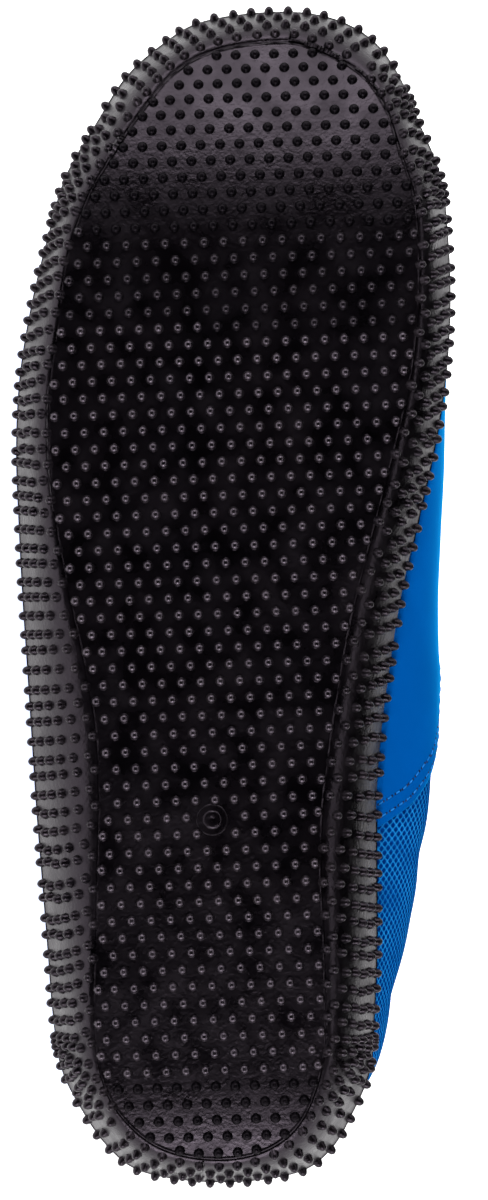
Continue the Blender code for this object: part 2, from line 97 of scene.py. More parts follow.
# Nubs: a lattice whose rows rise a little towards the inner side. At the toe and the heel, where
# the rim faces along the shoe by more than END_FACING, the side has its nubs in rings.
NUB_HEIGHT = 0.00125
NUB_PITCH = 0.00442
NUB_ROW_TILT = 0.037
NUB_ORIGIN = (0.17717, -0.00529)
NUB_SIDES = 12
NUB_GAP = 0.0033
NUB_LINE_GAP = 0.0011
NUB_RIM_GAP = 0.0015
NUB_PROFILE = (
    (0.00130, -0.00030),
    (0.00122, 0.00006),
    (0.00106, 0.00036),
    (0.00096, 0.00066),
    (0.00080, 0.00090),
    (0.00060, 0.00106),
    (0.00040, 0.00117),
    (0.00022, 0.00123),
)
NUB_DIMPLE = 0.00112
SIDE_PITCH = 0.0048
SIDE_NUB_STRETCH = (1.0, 1.0, 1.25)
FIRST_SIDE_REACH = 1.2 * NUB_PITCH
NUB_SWAY = 0.03
LATTICE_REACH = 60
TOE_SQUEEZE = 12.0
END_RINGS = 4
END_RING_START = 0.0024
END_RING_GAP = 0.0005
END_FACING = 0.62
END_OVERLAP = 0.34

# The parting line: distances from it, positive up the sole's side, and heights of the moulded lip
# and groove. Up the side a distance counts as a part of PARTING_SHARE of the side's run.
PARTING_PROFILE = (
    (-0.00080, 0.0),
    (-0.00034, 0.0),
    (-0.00020, 0.00012),
    (-0.00007, 0.00008),
    (0.00003, -0.00026),
    (0.00014, -0.00030),
    (0.00027, -0.00010),
    (0.00045, 0.0),
)
PARTING_SHARE = 0.75

# Outlines of the sole, one row for each section. "along" runs from heel to toe as a share of each
# outline's own length, the sideways columns are shares of half the ball width, positive towards
# the inner side, and "rim" is a share of the rim height.
SOLE_COLUMNS = ("along", "tread_in", "tread_out", "rim_in", "rim_out", "rim")
SOLE_TABLE = (
    (0.00, -0.110, -0.110, -0.10, -0.10, 1.15),
    (0.01, 0.110, -0.355, 0.27, -0.475, 1.15),
    (0.03, 0.230, -0.490, 0.41, -0.62, 1.14),
    (0.06, 0.305, -0.592, 0.505, -0.735, 1.12),
    (0.10, 0.350, -0.640, 0.59, -0.84, 1.09),
    (0.15, 0.350, -0.650, 0.61, -0.88, 1.05),
    (0.20, 0.345, -0.640, 0.62, -0.90, 1.02),
    (0.26, 0.332, -0.635, 0.62, -0.925, 1.00),
    (0.32, 0.345, -0.628, 0.62, -0.95, 0.98),
    (0.38, 0.385, -0.640, 0.64, -0.97, 0.96),
    (0.44, 0.430, -0.690, 0.68, -0.99, 0.94),
    (0.50, 0.490, -0.755, 0.73, -1.01, 0.91),
    (0.56, 0.565, -0.810, 0.80, -1.025, 0.87),
    (0.62, 0.640, -0.840, 0.87, -1.035, 0.84),
    (0.68, 0.710, -0.842, 0.92, -1.02, 0.82),
    (0.74, 0.750, -0.805, 0.94, -0.97, 0.82),
    (0.80, 0.757, -0.765, 0.93, -0.895, 0.85),
    (0.85, 0.740, -0.683, 0.90, -0.82, 0.90),
    (0.90, 0.672, -0.550, 0.80, -0.675, 1.00),
    (0.94, 0.610, -0.422, 0.715, -0.545, 1.12),
    (0.97, 0.505, -0.305, 0.61, -0.38, 1.24),
    (0.99, 0.343, -0.143, 0.46, -0.21, 1.33),
    (1.00, 0.178, 0.178, 0.19, 0.19, 1.36),
)

# The collar's edge above each section of the rim, from the heel to the throat. "x" is a share of
# the sole's length, "z" of the instep height, and the sideways columns are as above. "upright" is
# 1 where the wall ends standing and 0 where it lies across the instep.
THROAT_ALONG = 0.46
COLLAR_COLUMNS = ("along", "x", "z", "top_in", "top_out", "upright")
COLLAR_TABLE = (
    (0.00, 0.030, 0.860, -0.06, -0.06, 1.0),
    (0.01, 0.033, 0.856, 0.10, -0.20, 1.0),
    (0.03, 0.045, 0.842, 0.24, -0.31, 1.0),
    (0.06, 0.072, 0.815, 0.36, -0.40, 1.0),
    (0.10, 0.110, 0.775, 0.47, -0.47, 1.0),
    (0.15, 0.157, 0.725, 0.56, -0.53, 1.0),
    (0.20, 0.203, 0.690, 0.64, -0.57, 1.0),
    (0.26, 0.258, 0.685, 0.70, -0.59, 1.0),
    (0.30, 0.297, 0.725, 0.70, -0.59, 0.97),
    (0.34, 0.337, 0.795, 0.64, -0.54, 0.90),
    (0.38, 0.376, 0.873, 0.53, -0.44, 0.75),
    (0.41, 0.400, 0.925, 0.41, -0.31, 0.58),
    (0.44, 0.4145, 0.958, 0.24, -0.07, 0.33),
    (0.46, 0.418, 0.968, 0.09, 0.09, 0.0),
)

# The ridge of the instep and toes, where the two sides meet, from the throat to the toe.
RIDGE_COLUMNS = ("along", "x", "y", "z")
RIDGE_TABLE = (
    (0.46, 0.418, 0.09, 0.968),
    (0.50, 0.455, 0.10, 0.930),
    (0.56, 0.512, 0.13, 0.855),
    (0.62, 0.570, 0.16, 0.776),
    (0.68, 0.628, 0.19, 0.704),
    (0.74, 0.684, 0.21, 0.643),
    (0.80, 0.738, 0.22, 0.592),
    (0.85, 0.780, 0.225, 0.548),
    (0.90, 0.820, 0.23, 0.512),
    (0.94, 0.850, 0.23, 0.490),
    (0.97, 0.868, 0.225, 0.479),
    (0.99, 0.877, 0.22, 0.474),
    (1.00, 0.880, 0.21, 0.472),
)

# How the wall leaves the rim and comes to its top edge. "lean" is degrees outwards from upright,
# and the pulls are shares of the straight distance from rim to top.
WALL_COLUMNS = ("along", "lean_in", "lean_out", "rim_pull_in", "rim_pull_out", "top_pull_in", "top_pull_out")
WALL_TABLE = (
    (0.00, 6.0, 6.0, 0.42, 0.42, 0.40, 0.40),
    (0.06, 18.0, 6.0, 0.44, 0.42, 0.40, 0.40),
    (0.15, 36.0, 2.0, 0.50, 0.42, 0.44, 0.42),
    (0.26, 47.0, -2.0, 0.63, 0.42, 0.52, 0.44),
    (0.34, 51.0, -2.0, 0.67, 0.42, 0.57, 0.46),
    (0.42, 49.0, -2.0, 0.58, 0.44, 0.51, 0.48),
    (0.50, 43.0, -2.0, 0.52, 0.44, 0.48, 0.48),
    (0.60, 28.0, -3.0, 0.46, 0.44, 0.50, 0.48),
    (0.70, 6.0, -4.0, 0.45, 0.44, 0.48, 0.48),
    (0.85, -2.0, -4.0, 0.50, 0.45, 0.48, 0.48),
    (1.00, 0.0, 0.0, 0.38, 0.38, 0.38, 0.38),
)

# Rear edge of the smooth panel in side view: "z" is a share of the instep height, and the others
# are shares of the sole's length on the inner and the outer side.
PANEL_COLUMNS = ("z", "edge_in", "edge_out")
PANEL_EDGE = (
    (0.10, 0.285, 0.300),
    (0.22, 0.300, 0.315),
    (0.33, 0.322, 0.335),
    (0.42, 0.350, 0.358),
    (0.49, 0.385, 0.382),
    (0.55, 0.425, 0.404),
    (0.62, 0.465, 0.420),
    (0.71, 0.495, 0.440),
    (0.82, 0.515, 0.470),
    (0.95, 0.525, 0.505),
    (1.15, 0.530, 0.530),
)

# Section angles between which the tread's middle line follows the middle of its outline.
MIDDLE_ENDS = (0.35, 2.70)

# Sections behind and in front of the throat: of the sole, of the nubs' places, of the upper and of
# the insole. Rows are shares of each surface.
SOLE_SECTIONS = (90, 110)
PLACING_SECTIONS = (220, 260)
PLACING_ROWS = 30
UPPER_SECTIONS = (110, 100)
INSOLE_SECTIONS = (60, 70)
TREAD_ROWS = (0.0, 0.2, 0.4, 0.6, 0.8, 0.92)
SIDE_ROWS = (0.12, 0.18, 0.25, 0.32, 0.39, 0.46, 0.53, 0.60, 0.67, 0.74, 0.80, 0.86, 0.92, 0.97)
CUP_ROWS = (0.98, 0.90, 0.80, 0.70, 0.60, 0.45, 0.30, 0.15, 0.0)
FLOOR_ROWS = (0.6, 0.3, 0.0)
WALL_ROWS = 44
LINING_ROWS = np.linspace(0.02, 0.985, 30)
LINING_GAP = 0.0002
LINING_WALL = 0.0005
STITCH_PITCH = 0.0030
UP = np.array([0.0, 0.0, 1.0])
THROAT_ANGLE = math.acos(1.0 - 2.0 * THROAT_ALONG)
draws = random.Random(7)


def section_angle(along):
    """Angle whose versine runs with the share, so that round ends stay round."""
    return np.arccos(np.clip(1.0 - 2.0 * np.asarray(along, float), -1.0, 1.0))


def column(columns, table, name, angle):
    """One column of a table, read smoothly at the given section angles."""
    rows = np.array(table, float)
    knots = section_angle(rows[:, 0])
    values = rows[:, columns.index(name)]
    slopes = np.gradient(values, knots)
    k = np.clip(np.searchsorted(knots, angle) - 1, 0, len(knots) - 2)
    width = knots[k + 1] - knots[k]
    t = (angle - knots[k]) / width
    return (
        (2 * t**3 - 3 * t**2 + 1) * values[k]
        + (t**3 - 2 * t**2 + t) * width * slopes[k]
        + (3 * t**2 - 2 * t**3) * values[k + 1]
        + (t**3 - t**2) * width * slopes[k + 1]
    )


def side_column(columns, table, name, angle, inner):
    """A pair of columns NAME_in and NAME_out, read on the side that each section is on."""
    return np.where(
        inner,
        column(columns, table, name + "_in", angle),
        column(columns, table, name + "_out", angle),
    )


def unit(vectors):
    return vectors / np.maximum(np.linalg.norm(vectors, axis=-1, keepdims=True), 1e-12)


def bezier(a, b, c, d, t):
    return (1 - t) ** 3 * a + 3 * t * (1 - t) ** 2 * b + 3 * t**2 * (1 - t) * c + t**3 * d


def smooth_step(low, high, value):
    t = np.clip((np.asarray(value, float) - low) / (high - low), 0.0, 1.0)
    return t * t * (3.0 - 2.0 * t)


def loop_sections(rear, front):
    """Section angles once round the shoe: heel, inner side, toe, outer side."""
    behind = np.linspace(0.0, THROAT_ANGLE, rear + 1)
    ahead = np.linspace(THROAT_ANGLE, math.pi, front + 1)[1:]
    half = np.concatenate([behind, ahead])
    angle = np.concatenate([half, half[-2:0:-1]])
    inner = np.arange(len(angle)) < len(half)
    return angle, inner


def tread_lift(x, y, centre, edge_in):
    """Height of the tread above the ground: toe spring, rounded heel and arch."""
    toe = np.clip((x - TOE_BREAK) / (TREAD_START + TREAD_LENGTH - TOE_BREAK), 0.0, None)
    heel = np.clip((HEEL_BREAK - x) / (HEEL_BREAK - TREAD_START), 0.0, None)
    along = (x - TREAD_START) / TREAD_LENGTH
    waist = np.clip(1.0 - ((along - ARCH_ALONG) / ARCH_SPAN) ** 2, 0.0, 1.0) ** 2
    inwards = np.clip((y - centre) / np.maximum(edge_in - centre, 1e-6), 0.0, 1.0)
    return TOE_SPRING * toe**2 + HEEL_LIFT * heel**2 + ARCH_RISE * waist * inwards**2


def tread_points(angle, inner, share):
    """Points of the tread, from the middle line (share 0) to the tread's edge (share 1)."""
    half = BALL_WIDTH / 2
    length = TREAD_LENGTH * (SPINE_LENGTH + (1.0 - SPINE_LENGTH) * share)
    x = TREAD_START + (TREAD_LENGTH - length * np.cos(angle)) / 2
    edge_in = half * column(SOLE_COLUMNS, SOLE_TABLE, "tread_in", angle)
    edge_out = half * column(SOLE_COLUMNS, SOLE_TABLE, "tread_out", angle)
    centre = (edge_in + edge_out) / 2
    y = centre + share * (np.where(inner, edge_in, edge_out) - centre)
    return np.stack([x, y, tread_lift(x, y, centre, edge_in)], axis=-1)


def rim_points(angle, inner):
    """Points of the sole's outer rim."""
    x = SOLE_LENGTH * (1.0 - np.cos(angle)) / 2
    y = BALL_WIDTH / 2 * side_column(SOLE_COLUMNS, SOLE_TABLE, "rim", angle, inner)
    z = RIM_HEIGHT * column(SOLE_COLUMNS, SOLE_TABLE, "rim", angle)
    return np.stack([x, y, z], axis=-1)


def rim_normals(angle, inner):
    """Level unit directions straight out of the rim."""
    before = rim_points(np.maximum(angle - ANGLE_STEP, 0.0), inner)
    after = rim_points(np.minimum(angle + ANGLE_STEP, math.pi), inner)
    tangent = unit((after - before) * (1.0, 1.0, 0.0))
    turned = np.stack([-tangent[:, 1], tangent[:, 0], tangent[:, 2]], axis=-1)
    return np.where(inner[:, None], turned, -turned)


def side_points(angle, inner, share):
    """Points of the sole's side, from the tread's edge (share 0) to the rim (share 1)."""
    edge = tread_points(angle, inner, 1.0)
    rim = rim_points(angle, inner)
    flat = (rim - edge) * (1.0, 1.0, 0.0)
    rise = (rim - edge)[:, 2:]
    edge_slope, wall_slope = math.radians(EDGE_SLOPE), math.radians(WALL_SLOPE)
    run = np.linalg.norm(flat, axis=-1, keepdims=True)
    near_edge = edge + RIM_HANDLE * (flat + UP * run * math.tan(edge_slope))
    lean = unit(flat) * math.cos(wall_slope) + UP * math.sin(wall_slope)
    return bezier(edge, near_edge, rim - RIM_HANDLE * rise * lean, rim, share)


def skin_normals(rings, welded_top=False):
    """Outward unit normals of a skin of closed rings, whose two sides share the points of the last
    ring that welded_top marks."""
    points = np.array(rings)
    lower, upper = points[:-1], points[1:]
    next_lower, next_upper = np.roll(lower, -1, axis=1), np.roll(upper, -1, axis=1)
    facet = np.cross(next_upper - lower, next_lower - upper)
    both = facet + np.roll(facet, 1, axis=1)
    normal = np.zeros_like(points)
    normal[:-1] += both
    normal[1:] += both
    mirror = (-np.arange(points.shape[1])) % points.shape[1]
    normal[-1] += np.where(np.reshape(welded_top, (-1, 1)), normal[-1][mirror], 0.0)
    return unit(normal)


def ridge_points(angle):
    """Points of the ridge, in front of the throat."""
    x = SOLE_LENGTH * column(RIDGE_COLUMNS, RIDGE_TABLE, "x", angle)
    y = BALL_WIDTH / 2 * column(RIDGE_COLUMNS, RIDGE_TABLE, "y", angle)
    z = INSTEP_HEIGHT * column(RIDGE_COLUMNS, RIDGE_TABLE, "z", angle)
    return np.stack([x, y, z], axis=-1)


def top_points(angle, inner):
    """Points of the upper's top edge: collar, then ridge."""
    behind = np.minimum(angle, THROAT_ANGLE)
    x = SOLE_LENGTH * column(COLLAR_COLUMNS, COLLAR_TABLE, "x", behind)
    y = BALL_WIDTH / 2 * side_column(COLLAR_COLUMNS, COLLAR_TABLE, "top", behind, inner)
    z = INSTEP_HEIGHT * column(COLLAR_COLUMNS, COLLAR_TABLE, "z", behind)
    collar = np.stack([x, y, z], axis=-1)
    ridge = ridge_points(np.maximum(angle, THROAT_ANGLE))
    return np.where(angle[:, None] < THROAT_ANGLE, collar, ridge)


def ridge_slopes(angle):
    """Rise of the ridge for each metre forwards."""
    before = np.clip(angle - ANGLE_STEP, THROAT_ANGLE, math.pi - 2 * ANGLE_STEP)
    change = ridge_points(before + 2 * ANGLE_STEP) - ridge_points(before)
    return change[:, 2:] / np.maximum(change[:, :1], 1e-9)


def top_directions(angle, inner):
    """Unit directions in which the wall leaves its top edge, downwards from the collar and
    across the ridge."""
    out = rim_normals(angle, inner)
    turn = np.clip((angle - RIDGE_TURN) / (math.pi - RIDGE_TURN), 0.0, 1.0) ** 2 * math.pi / 2
    side = np.where(inner, 1.0, -1.0)
    level = np.stack([np.sin(turn), side * np.cos(turn), np.zeros_like(turn)], axis=-1)
    across = unit(level + UP * level[:, :1] * ridge_slopes(angle))
    down = unit(COLLAR_FLARE * out - UP)
    behind = np.minimum(angle, THROAT_ANGLE)
    upright = column(COLLAR_COLUMNS, COLLAR_TABLE, "upright", behind)[:, None]
    return unit((1.0 - upright) * across + upright * down)


def free_points(angle, inner, share):
    """Points of the upper's wall, from inside the rim (share 0) to the top edge (share 1)."""
    out = rim_normals(angle, inner)
    foot = rim_points(angle, inner) - out * (SOLE_WALL + CLEARANCE)
    top = top_points(angle, inner)
    chord = np.linalg.norm(top - foot, axis=-1, keepdims=True)
    lean = np.radians(side_column(WALL_COLUMNS, WALL_TABLE, "lean", angle, inner))[:, None]
    rim_pull = side_column(WALL_COLUMNS, WALL_TABLE, "rim_pull", angle, inner)[:, None]
    top_pull = side_column(WALL_COLUMNS, WALL_TABLE, "top_pull", angle, inner)[:, None]
    near_foot = foot + rim_pull * chord * (out * np.sin(lean) + UP * np.cos(lean))
    near_top = top + top_pull * chord * top_directions(angle, inner)
    share = np.reshape(share, (-1, 1))
    return bezier(foot, near_foot, near_top, top, share)


def panel_edge_angle(share, inner):
    """Section angle at which the wall crosses the panel's rear edge, found by halving."""
    edge = np.array(PANEL_EDGE)
    edge_x = edge[:, PANEL_COLUMNS.index("edge_in" if inner else "edge_out")]
    flags = np.array([inner])
    low, high = section_angle(0.1), section_angle(0.9)
    for _ in range(30):
        middle = (low + high) / 2
        x, _, z = free_points(np.array([middle]), flags, share)[0]
        if x < SOLE_LENGTH * np.interp(z / INSTEP_HEIGHT, edge[:, 0], edge_x):
            low = middle
        else:
            high = middle
    return middle


def shoe_to_row(record):
    """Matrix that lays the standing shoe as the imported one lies, read from the tread's mounts."""
    mounts = {mount["name"]: mount for mount in record["mounts"]}
    heel = Vector(mounts["tread_heel"]["pos_m"])
    ball = Vector(mounts["tread_ball"]["pos_m"])
    up = -Vector(mounts["tread_heel"]["axis"]).normalized()
    along = ball - heel
    along = (along - up * along.dot(up)).normalized()
    turn = math.atan2(BALL_MOUNT[1] - HEEL_MOUNT[1], BALL_MOUNT[0] - HEEL_MOUNT[0])
    toe = along * math.cos(turn) - up.cross(along) * math.sin(turn)
    inner = up.cross(toe)
    origin = heel - toe * HEEL_MOUNT[0] - inner * HEEL_MOUNT[1]
    matrix = Matrix((toe, inner, up)).transposed().to_4x4()
    matrix.translation = origin
    return matrix


LAID = shoe_to_row(frame["record"])


# Mesh helpers


def add_rings(mesh, rings, closed_loops=True, closed_section=False):
    """Faces between each ring and the next, facing out, with shared points merged and a map in
    metres: along the rings, and from ring to ring."""
    rings = np.array(rings)
    layer = mesh.loops.layers.uv.verify()
    middle = rings[len(rings) // 2]
    steps = np.linalg.norm(np.roll(middle, -1, axis=0) - middle, axis=1)
    along = np.concatenate([[0.0], np.cumsum(steps)])
    rise = np.linalg.norm(np.diff(rings, axis=0), axis=2).mean(axis=1)
    rise = np.concatenate([[0.0], np.cumsum(rise)])
    verts = [[mesh.verts.new(point) for point in ring] for ring in rings]
    rows = len(rings) if closed_section else len(rings) - 1
    for row in range(rows):
        lower, upper = verts[row], verts[(row + 1) % len(verts)]
        low, high = rise[row], rise[row] if row + 1 == len(rings) else rise[row + 1]
        for i in range(len(lower) if closed_loops else len(lower) - 1):
            j = (i + 1) % len(lower)
            face = mesh.faces.new((lower[i], upper[i], upper[j], lower[j]))
            places = ((along[i], low), (along[i], high), (along[i + 1], high), (along[i + 1], low))
            for loop, place in zip(face.loops, places):
                loop[layer].uv = place
    bmesh.ops.remove_doubles(mesh, verts=mesh.verts, dist=MERGE_DISTANCE)


def add_piece(name, mesh, material, replaced=(), smooth_angle=50.0):
    """Object of a bmesh or mesh data in the shoe's frame, laid down and riding on the part."""
    if isinstance(mesh, bmesh.types.BMesh):
        data = bpy.data.meshes.new(name)
        mesh.to_mesh(data)
        mesh.free()
    else:
        data = mesh
    data.transform(LAID)
    data.shade_smooth()
    data.set_sharp_from_angle(angle=math.radians(smooth_angle))
    data.materials.append(material)
    piece = bpy.data.objects.new(name, data)
    bpy.context.scene.collection.objects.link(piece)
    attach(piece, "root")
    if replaced:
        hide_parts(*replaced)
    return piece


def solidify(piece, thickness, offset):
    """Gives an open skin its wall: inwards for offset -1, outwards for +1."""
    wall = piece.modifiers.new("wall", "SOLIDIFY")
    wall.thickness = thickness
    wall.offset = offset
    wall.use_even_offset = False
    wall.use_rim = True


def surface_tree(rings, closed_loops=True):
    """Tree for finding places on a skin of rings, in the shoe's frame."""
    rings = np.array(rings)
    rows, columns = rings.shape[:2]
    points = [Vector(point) for point in rings.reshape(-1, 3)]
    faces = []
    for row in range(rows - 1):
        for i in range(columns if closed_loops else columns - 1):
            j = (i + 1) % columns
            first, second = row * columns, (row + 1) * columns
            faces.append((first + i, second + i, second + j, first + j))
    return BVHTree.FromPolygons(points, faces)


def frame_at(normal, along):
    """Three unit vectors: sideways, along and out of a surface."""
    out = Vector(normal).normalized()
    forward = Vector(along)
    forward = (forward - out * forward.dot(out)).normalized()
    return forward.cross(out), forward, out


def repeat_shape(name, shape, faces, places):
    """One mesh with a copy of a small closed shape at every place (point, sideways, along, out)."""
    shape = np.array(shape, float)
    points, polygons = [], []
    for index, (point, side, along, out) in enumerate(places):
        turn = np.array([side, along, out])
        points.append(shape @ turn + np.array(point))
        polygons.extend([tuple(corner + index * len(shape) for corner in face) for face in faces])
    data = bpy.data.meshes.new(name)
    data.from_pydata(np.concatenate(points).tolist(), [], polygons)
    data.update()
    return data


def lathe(profile, sides, tip):
    """Closed shape turned about its axis: (radius, height) rings, a flat foot and a tip point."""
    turns = np.linspace(0.0, 2.0 * math.pi, sides, endpoint=False)
    points = [(r * math.cos(t), r * math.sin(t), h) for r, h in profile for t in turns]
    faces = [tuple(range(sides - 1, -1, -1))]
    for ring in range(len(profile) - 1):
        for i in range(sides):
            j = (i + 1) % sides
            low, high = ring * sides, (ring + 1) * sides
            faces.append((low + i, low + j, high + j, high + i))
    points.append((0.0, 0.0, tip))
    last = (len(profile) - 1) * sides
    faces.extend((last + i, last + (i + 1) % sides, len(points) - 1) for i in range(sides))
    return points, faces


# Materials


def start_material(name, colour, roughness):
    """A Principled material with its node tree and shader."""
    material = bpy.data.materials.new(name)
    material.use_nodes = True
    shader = material.node_tree.nodes["Principled BSDF"]
    shader.inputs["Base Color"].default_value = (*colour, 1.0)
    shader.inputs["Roughness"].default_value = roughness
    return material, material.node_tree, shader


def node(tree, kind, **settings):
    made = tree.nodes.new(kind)
    for key, value in settings.items():
        setattr(made, key, value)
    return made


def noise(tree, scale, detail):
    """Noise on the object's own coordinates."""
    place = node(tree, "ShaderNodeTexCoord")
    texture = node(tree, "ShaderNodeTexNoise")
    texture.inputs["Scale"].default_value = scale
    texture.inputs["Detail"].default_value = detail
    tree.links.new(place.outputs["Object"], texture.inputs["Vector"])
    return texture.outputs["Fac"]


def ramp(tree, value, stops):
    """Colours between named places of a value."""
    made = node(tree, "ShaderNodeValToRGB")
    for _ in range(len(stops) - 2):
        made.color_ramp.elements.new(0.5)
    for element, (place, colour) in zip(made.color_ramp.elements, stops):
        element.position = place
        element.color = (*colour, 1.0)
    tree.links.new(value, made.inputs["Fac"])
    return made.outputs["Color"]


def spread(tree, value, low, high):
    """A value stretched to the range from low to high."""
    made = node(tree, "ShaderNodeMapRange")
    made.inputs["From Min"].default_value = 0.3
    made.inputs["From Max"].default_value = 0.7
    made.inputs["To Min"].default_value = low
    made.inputs["To Max"].default_value = high
    tree.links.new(value, made.inputs["Value"])
    return made.outputs["Result"]


def math_node(tree, operation, first, second=None):
    made = node(tree, "ShaderNodeMath", operation=operation)
    for socket, value in zip(made.inputs, (first, second)):
        if isinstance(value, (int, float)):
            socket.default_value = value
        elif value is not None:
            tree.links.new(value, socket)
    return made.outputs["Value"]


def mix_colours(tree, factor, first, second):
    made = node(tree, "ShaderNodeMix", data_type="RGBA")
    tree.links.new(factor, made.inputs["Factor"])
    for socket, value in ((made.inputs["A"], first), (made.inputs["B"], second)):
        if isinstance(value, tuple):
            socket.default_value = (*value, 1.0)
        else:
            tree.links.new(value, socket)
    return made.outputs["Result"]


def bump(tree, shader, height, distance, strength=1.0):
    made = node(tree, "ShaderNodeBump")
    made.inputs["Distance"].default_value = distance
    made.inputs["Strength"].default_value = strength
    tree.links.new(height, made.inputs["Height"])
    tree.links.new(made.outputs["Normal"], shader.inputs["Normal"])


def rubber_material(name, dark, dusty, roughness, gloss):
    """Moulded black rubber: faint brown and violet dust, fine pores and uneven gloss."""
    material, tree, shader = start_material(name, dark, roughness)
    dust = spread(tree, noise(tree, 55.0, 8.0), 0.0, 1.0)
    tint = ramp(tree, dust, ((0.25, dark), (0.75, dusty)))
    tree.links.new(tint, shader.inputs["Base Color"])
    rubbed = spread(tree, noise(tree, 140.0, 6.0), roughness - 0.08, roughness + 0.12)
    tree.links.new(rubbed, shader.inputs["Roughness"])
    shader.inputs["Specular IOR Level"].default_value = gloss
    shader.inputs["Specular Tint"].default_value = (0.98, 0.81, 1.0, 1.0)
    bump(tree, shader, noise(tree, 1100.0, 4.0), 0.00016, 0.7)
    return material


def lattice_height(tree, cell):
    """Height of a knit of diagonal ribs with open cells of the given size, and the cells' mask."""
    place = node(tree, "ShaderNodeTexCoord")
    parts = node(tree, "ShaderNodeSeparateXYZ")
    tree.links.new(place.outputs["UV"], parts.inputs["Vector"])
    sideways = math_node(tree, "MULTIPLY", parts.outputs["X"], math.pi / cell)
    upwards = math_node(tree, "MULTIPLY", parts.outputs["Y"], math.pi / cell)
    falling = math_node(tree, "SINE", math_node(tree, "ADD", sideways, upwards))
    rising = math_node(tree, "SINE", math_node(tree, "SUBTRACT", sideways, upwards))
    cells = [math_node(tree, "ABSOLUTE", wave) for wave in (falling, rising)]
    return math_node(tree, "SUBTRACT", 1.0, math_node(tree, "MULTIPLY", *cells))


def mesh_material():
    """Deep blue knit mesh with lighter ribs and darker cells."""
    material, tree, shader = start_material("knit_mesh", (0.002, 0.080, 0.31), 0.8)
    ribs = lattice_height(tree, 0.0021)
    shades = ramp(
        tree,
        ribs,
        ((0.30, (0.0, 0.022, 0.18)), (0.62, (0.001, 0.120, 0.53)), (0.95, (0.020, 0.360, 0.92))),
    )
    patch = spread(tree, noise(tree, 130.0, 5.0), 0.0, 0.6)
    tree.links.new(mix_colours(tree, patch, shades, (0.001, 0.075, 0.37)), shader.inputs["Base Color"])
    shader.inputs["Specular IOR Level"].default_value = 0.0
    bump(tree, shader, ribs, 0.00045, 0.9)
    return material


def film_material():
    """Smooth bright blue fabric with a soft sheen, fine grain and faint rubs."""
    material, tree, shader = start_material("panel_film", (0.0, 0.112, 0.49), 0.6)
    rubs = spread(tree, noise(tree, 35.0, 6.0), 0.0, 1.0)
    shades = ((0.0, (0.0, 0.094, 0.42)), (0.6, (0.0, 0.112, 0.49)), (1.0, (0.0, 0.130, 0.55)))
    tree.links.new(ramp(tree, rubs, shades), shader.inputs["Base Color"])
    shader.inputs["Specular IOR Level"].default_value = 0.0
    shader.inputs["Sheen Weight"].default_value = 1.0
    shader.inputs["Sheen Roughness"].default_value = 0.30
    shader.inputs["Sheen Tint"].default_value = (0.01, 0.45, 1.0, 1.0)
    bump(tree, shader, noise(tree, 2600.0, 2.0), 0.00005, 0.5)
    return material


def cloth_material(name, low, high, cell):
    """Plain fabric with a fine diagonal weave and uneven shade."""
    material, tree, shader = start_material(name, low, 0.9)
    weave = lattice_height(tree, cell)
    shades = ramp(tree, weave, ((0.2, low), (0.9, high)))
    patch = spread(tree, noise(tree, 60.0, 5.0), 0.0, 0.4)
    tree.links.new(mix_colours(tree, patch, shades, low), shader.inputs["Base Color"])
    shader.inputs["Sheen Weight"].default_value = 0.2
    shader.inputs["Sheen Roughness"].default_value = 0.5
    bump(tree, shader, weave, 0.00025, 0.8)
    return material


def thread_material(name, colour):
    """Twisted sewing thread, and also the flat dark discs that paint the shade of the needle holes."""
    material, tree, shader = start_material(name, colour, 0.6)
    tone = spread(tree, noise(tree, 700.0, 3.0), 0.0, 1.0)
    lighter = tuple(min(1.0, 1.5 * value + 0.02) for value in colour)
    tree.links.new(mix_colours(tree, tone, colour, lighter), shader.inputs["Base Color"])
    shader.inputs["Specular IOR Level"].default_value = 0.1
    bump(tree, shader, noise(tree, 2200.0, 2.0), 0.0001, 0.8)
    return material


# Sole


def tread_row(angle, inner, share):
    """One row of the tread between the nubs' tips, fanned out of a middle line without a swing at
    its ends, with its normals."""
    calm = np.clip(angle, *MIDDLE_ENDS)
    half = BALL_WIDTH / 2
    edge_in = half * column(SOLE_COLUMNS, SOLE_TABLE, "tread_in", calm)
    edge_out = half * column(SOLE_COLUMNS, SOLE_TABLE, "tread_out", calm)
    centre = (edge_in + edge_out) / 2
    middle = tread_points(angle, inner, 0.0)
    middle[:, 1] = centre
    flat = middle + (tread_points(angle, inner, 1.0) - middle) * np.reshape(share, (-1, 1))

    def lift(x, y):
        return tread_lift(x, y, centre, edge_in)

    x, y = flat[:, 0], flat[:, 1]
    points = np.stack([x, y, lift(x, y)], axis=-1)
    step = MERGE_DISTANCE
    slopes = [(lift(x + step, y) - lift(x, y)) / step, (lift(x, y + step) - lift(x, y)) / step]
    return points, unit(np.stack([*slopes, -np.ones(len(x))], axis=-1))


def sole_rings(angle, inner):
    """Dense skin of the sole over the nubs' tips, its normals and the parting line's heights."""
    edge = tread_points(angle, inner, 1.0)
    rim = rim_points(angle, inner)
    half_width = np.linalg.norm(edge - tread_row(angle, inner, 0.0)[0], axis=1)
    run = np.linalg.norm((rim - edge) * (1.0, 1.0, 0.0), axis=1)
    rows = [tread_row(angle, inner, share) for share in TREAD_ROWS]
    heights = [0.0] * len(TREAD_ROWS)
    sides = []
    for distance, height in PARTING_PROFILE:
        heights.append(height)
        if distance < 0.0:
            rows.append(tread_row(angle, inner, 1.0 + distance / half_width))
        else:
            sides.append(side_points(angle, inner, (distance / (PARTING_SHARE * run))[:, None]))
    sides += [side_points(angle, inner, share) for share in SIDE_ROWS]
    heights += [0.0] * len(SIDE_ROWS)
    points = [row for row, _ in rows]
    normals = [normal for _, normal in rows] + list(skin_normals([edge] + sides)[1:])
    return points + sides, normals, heights


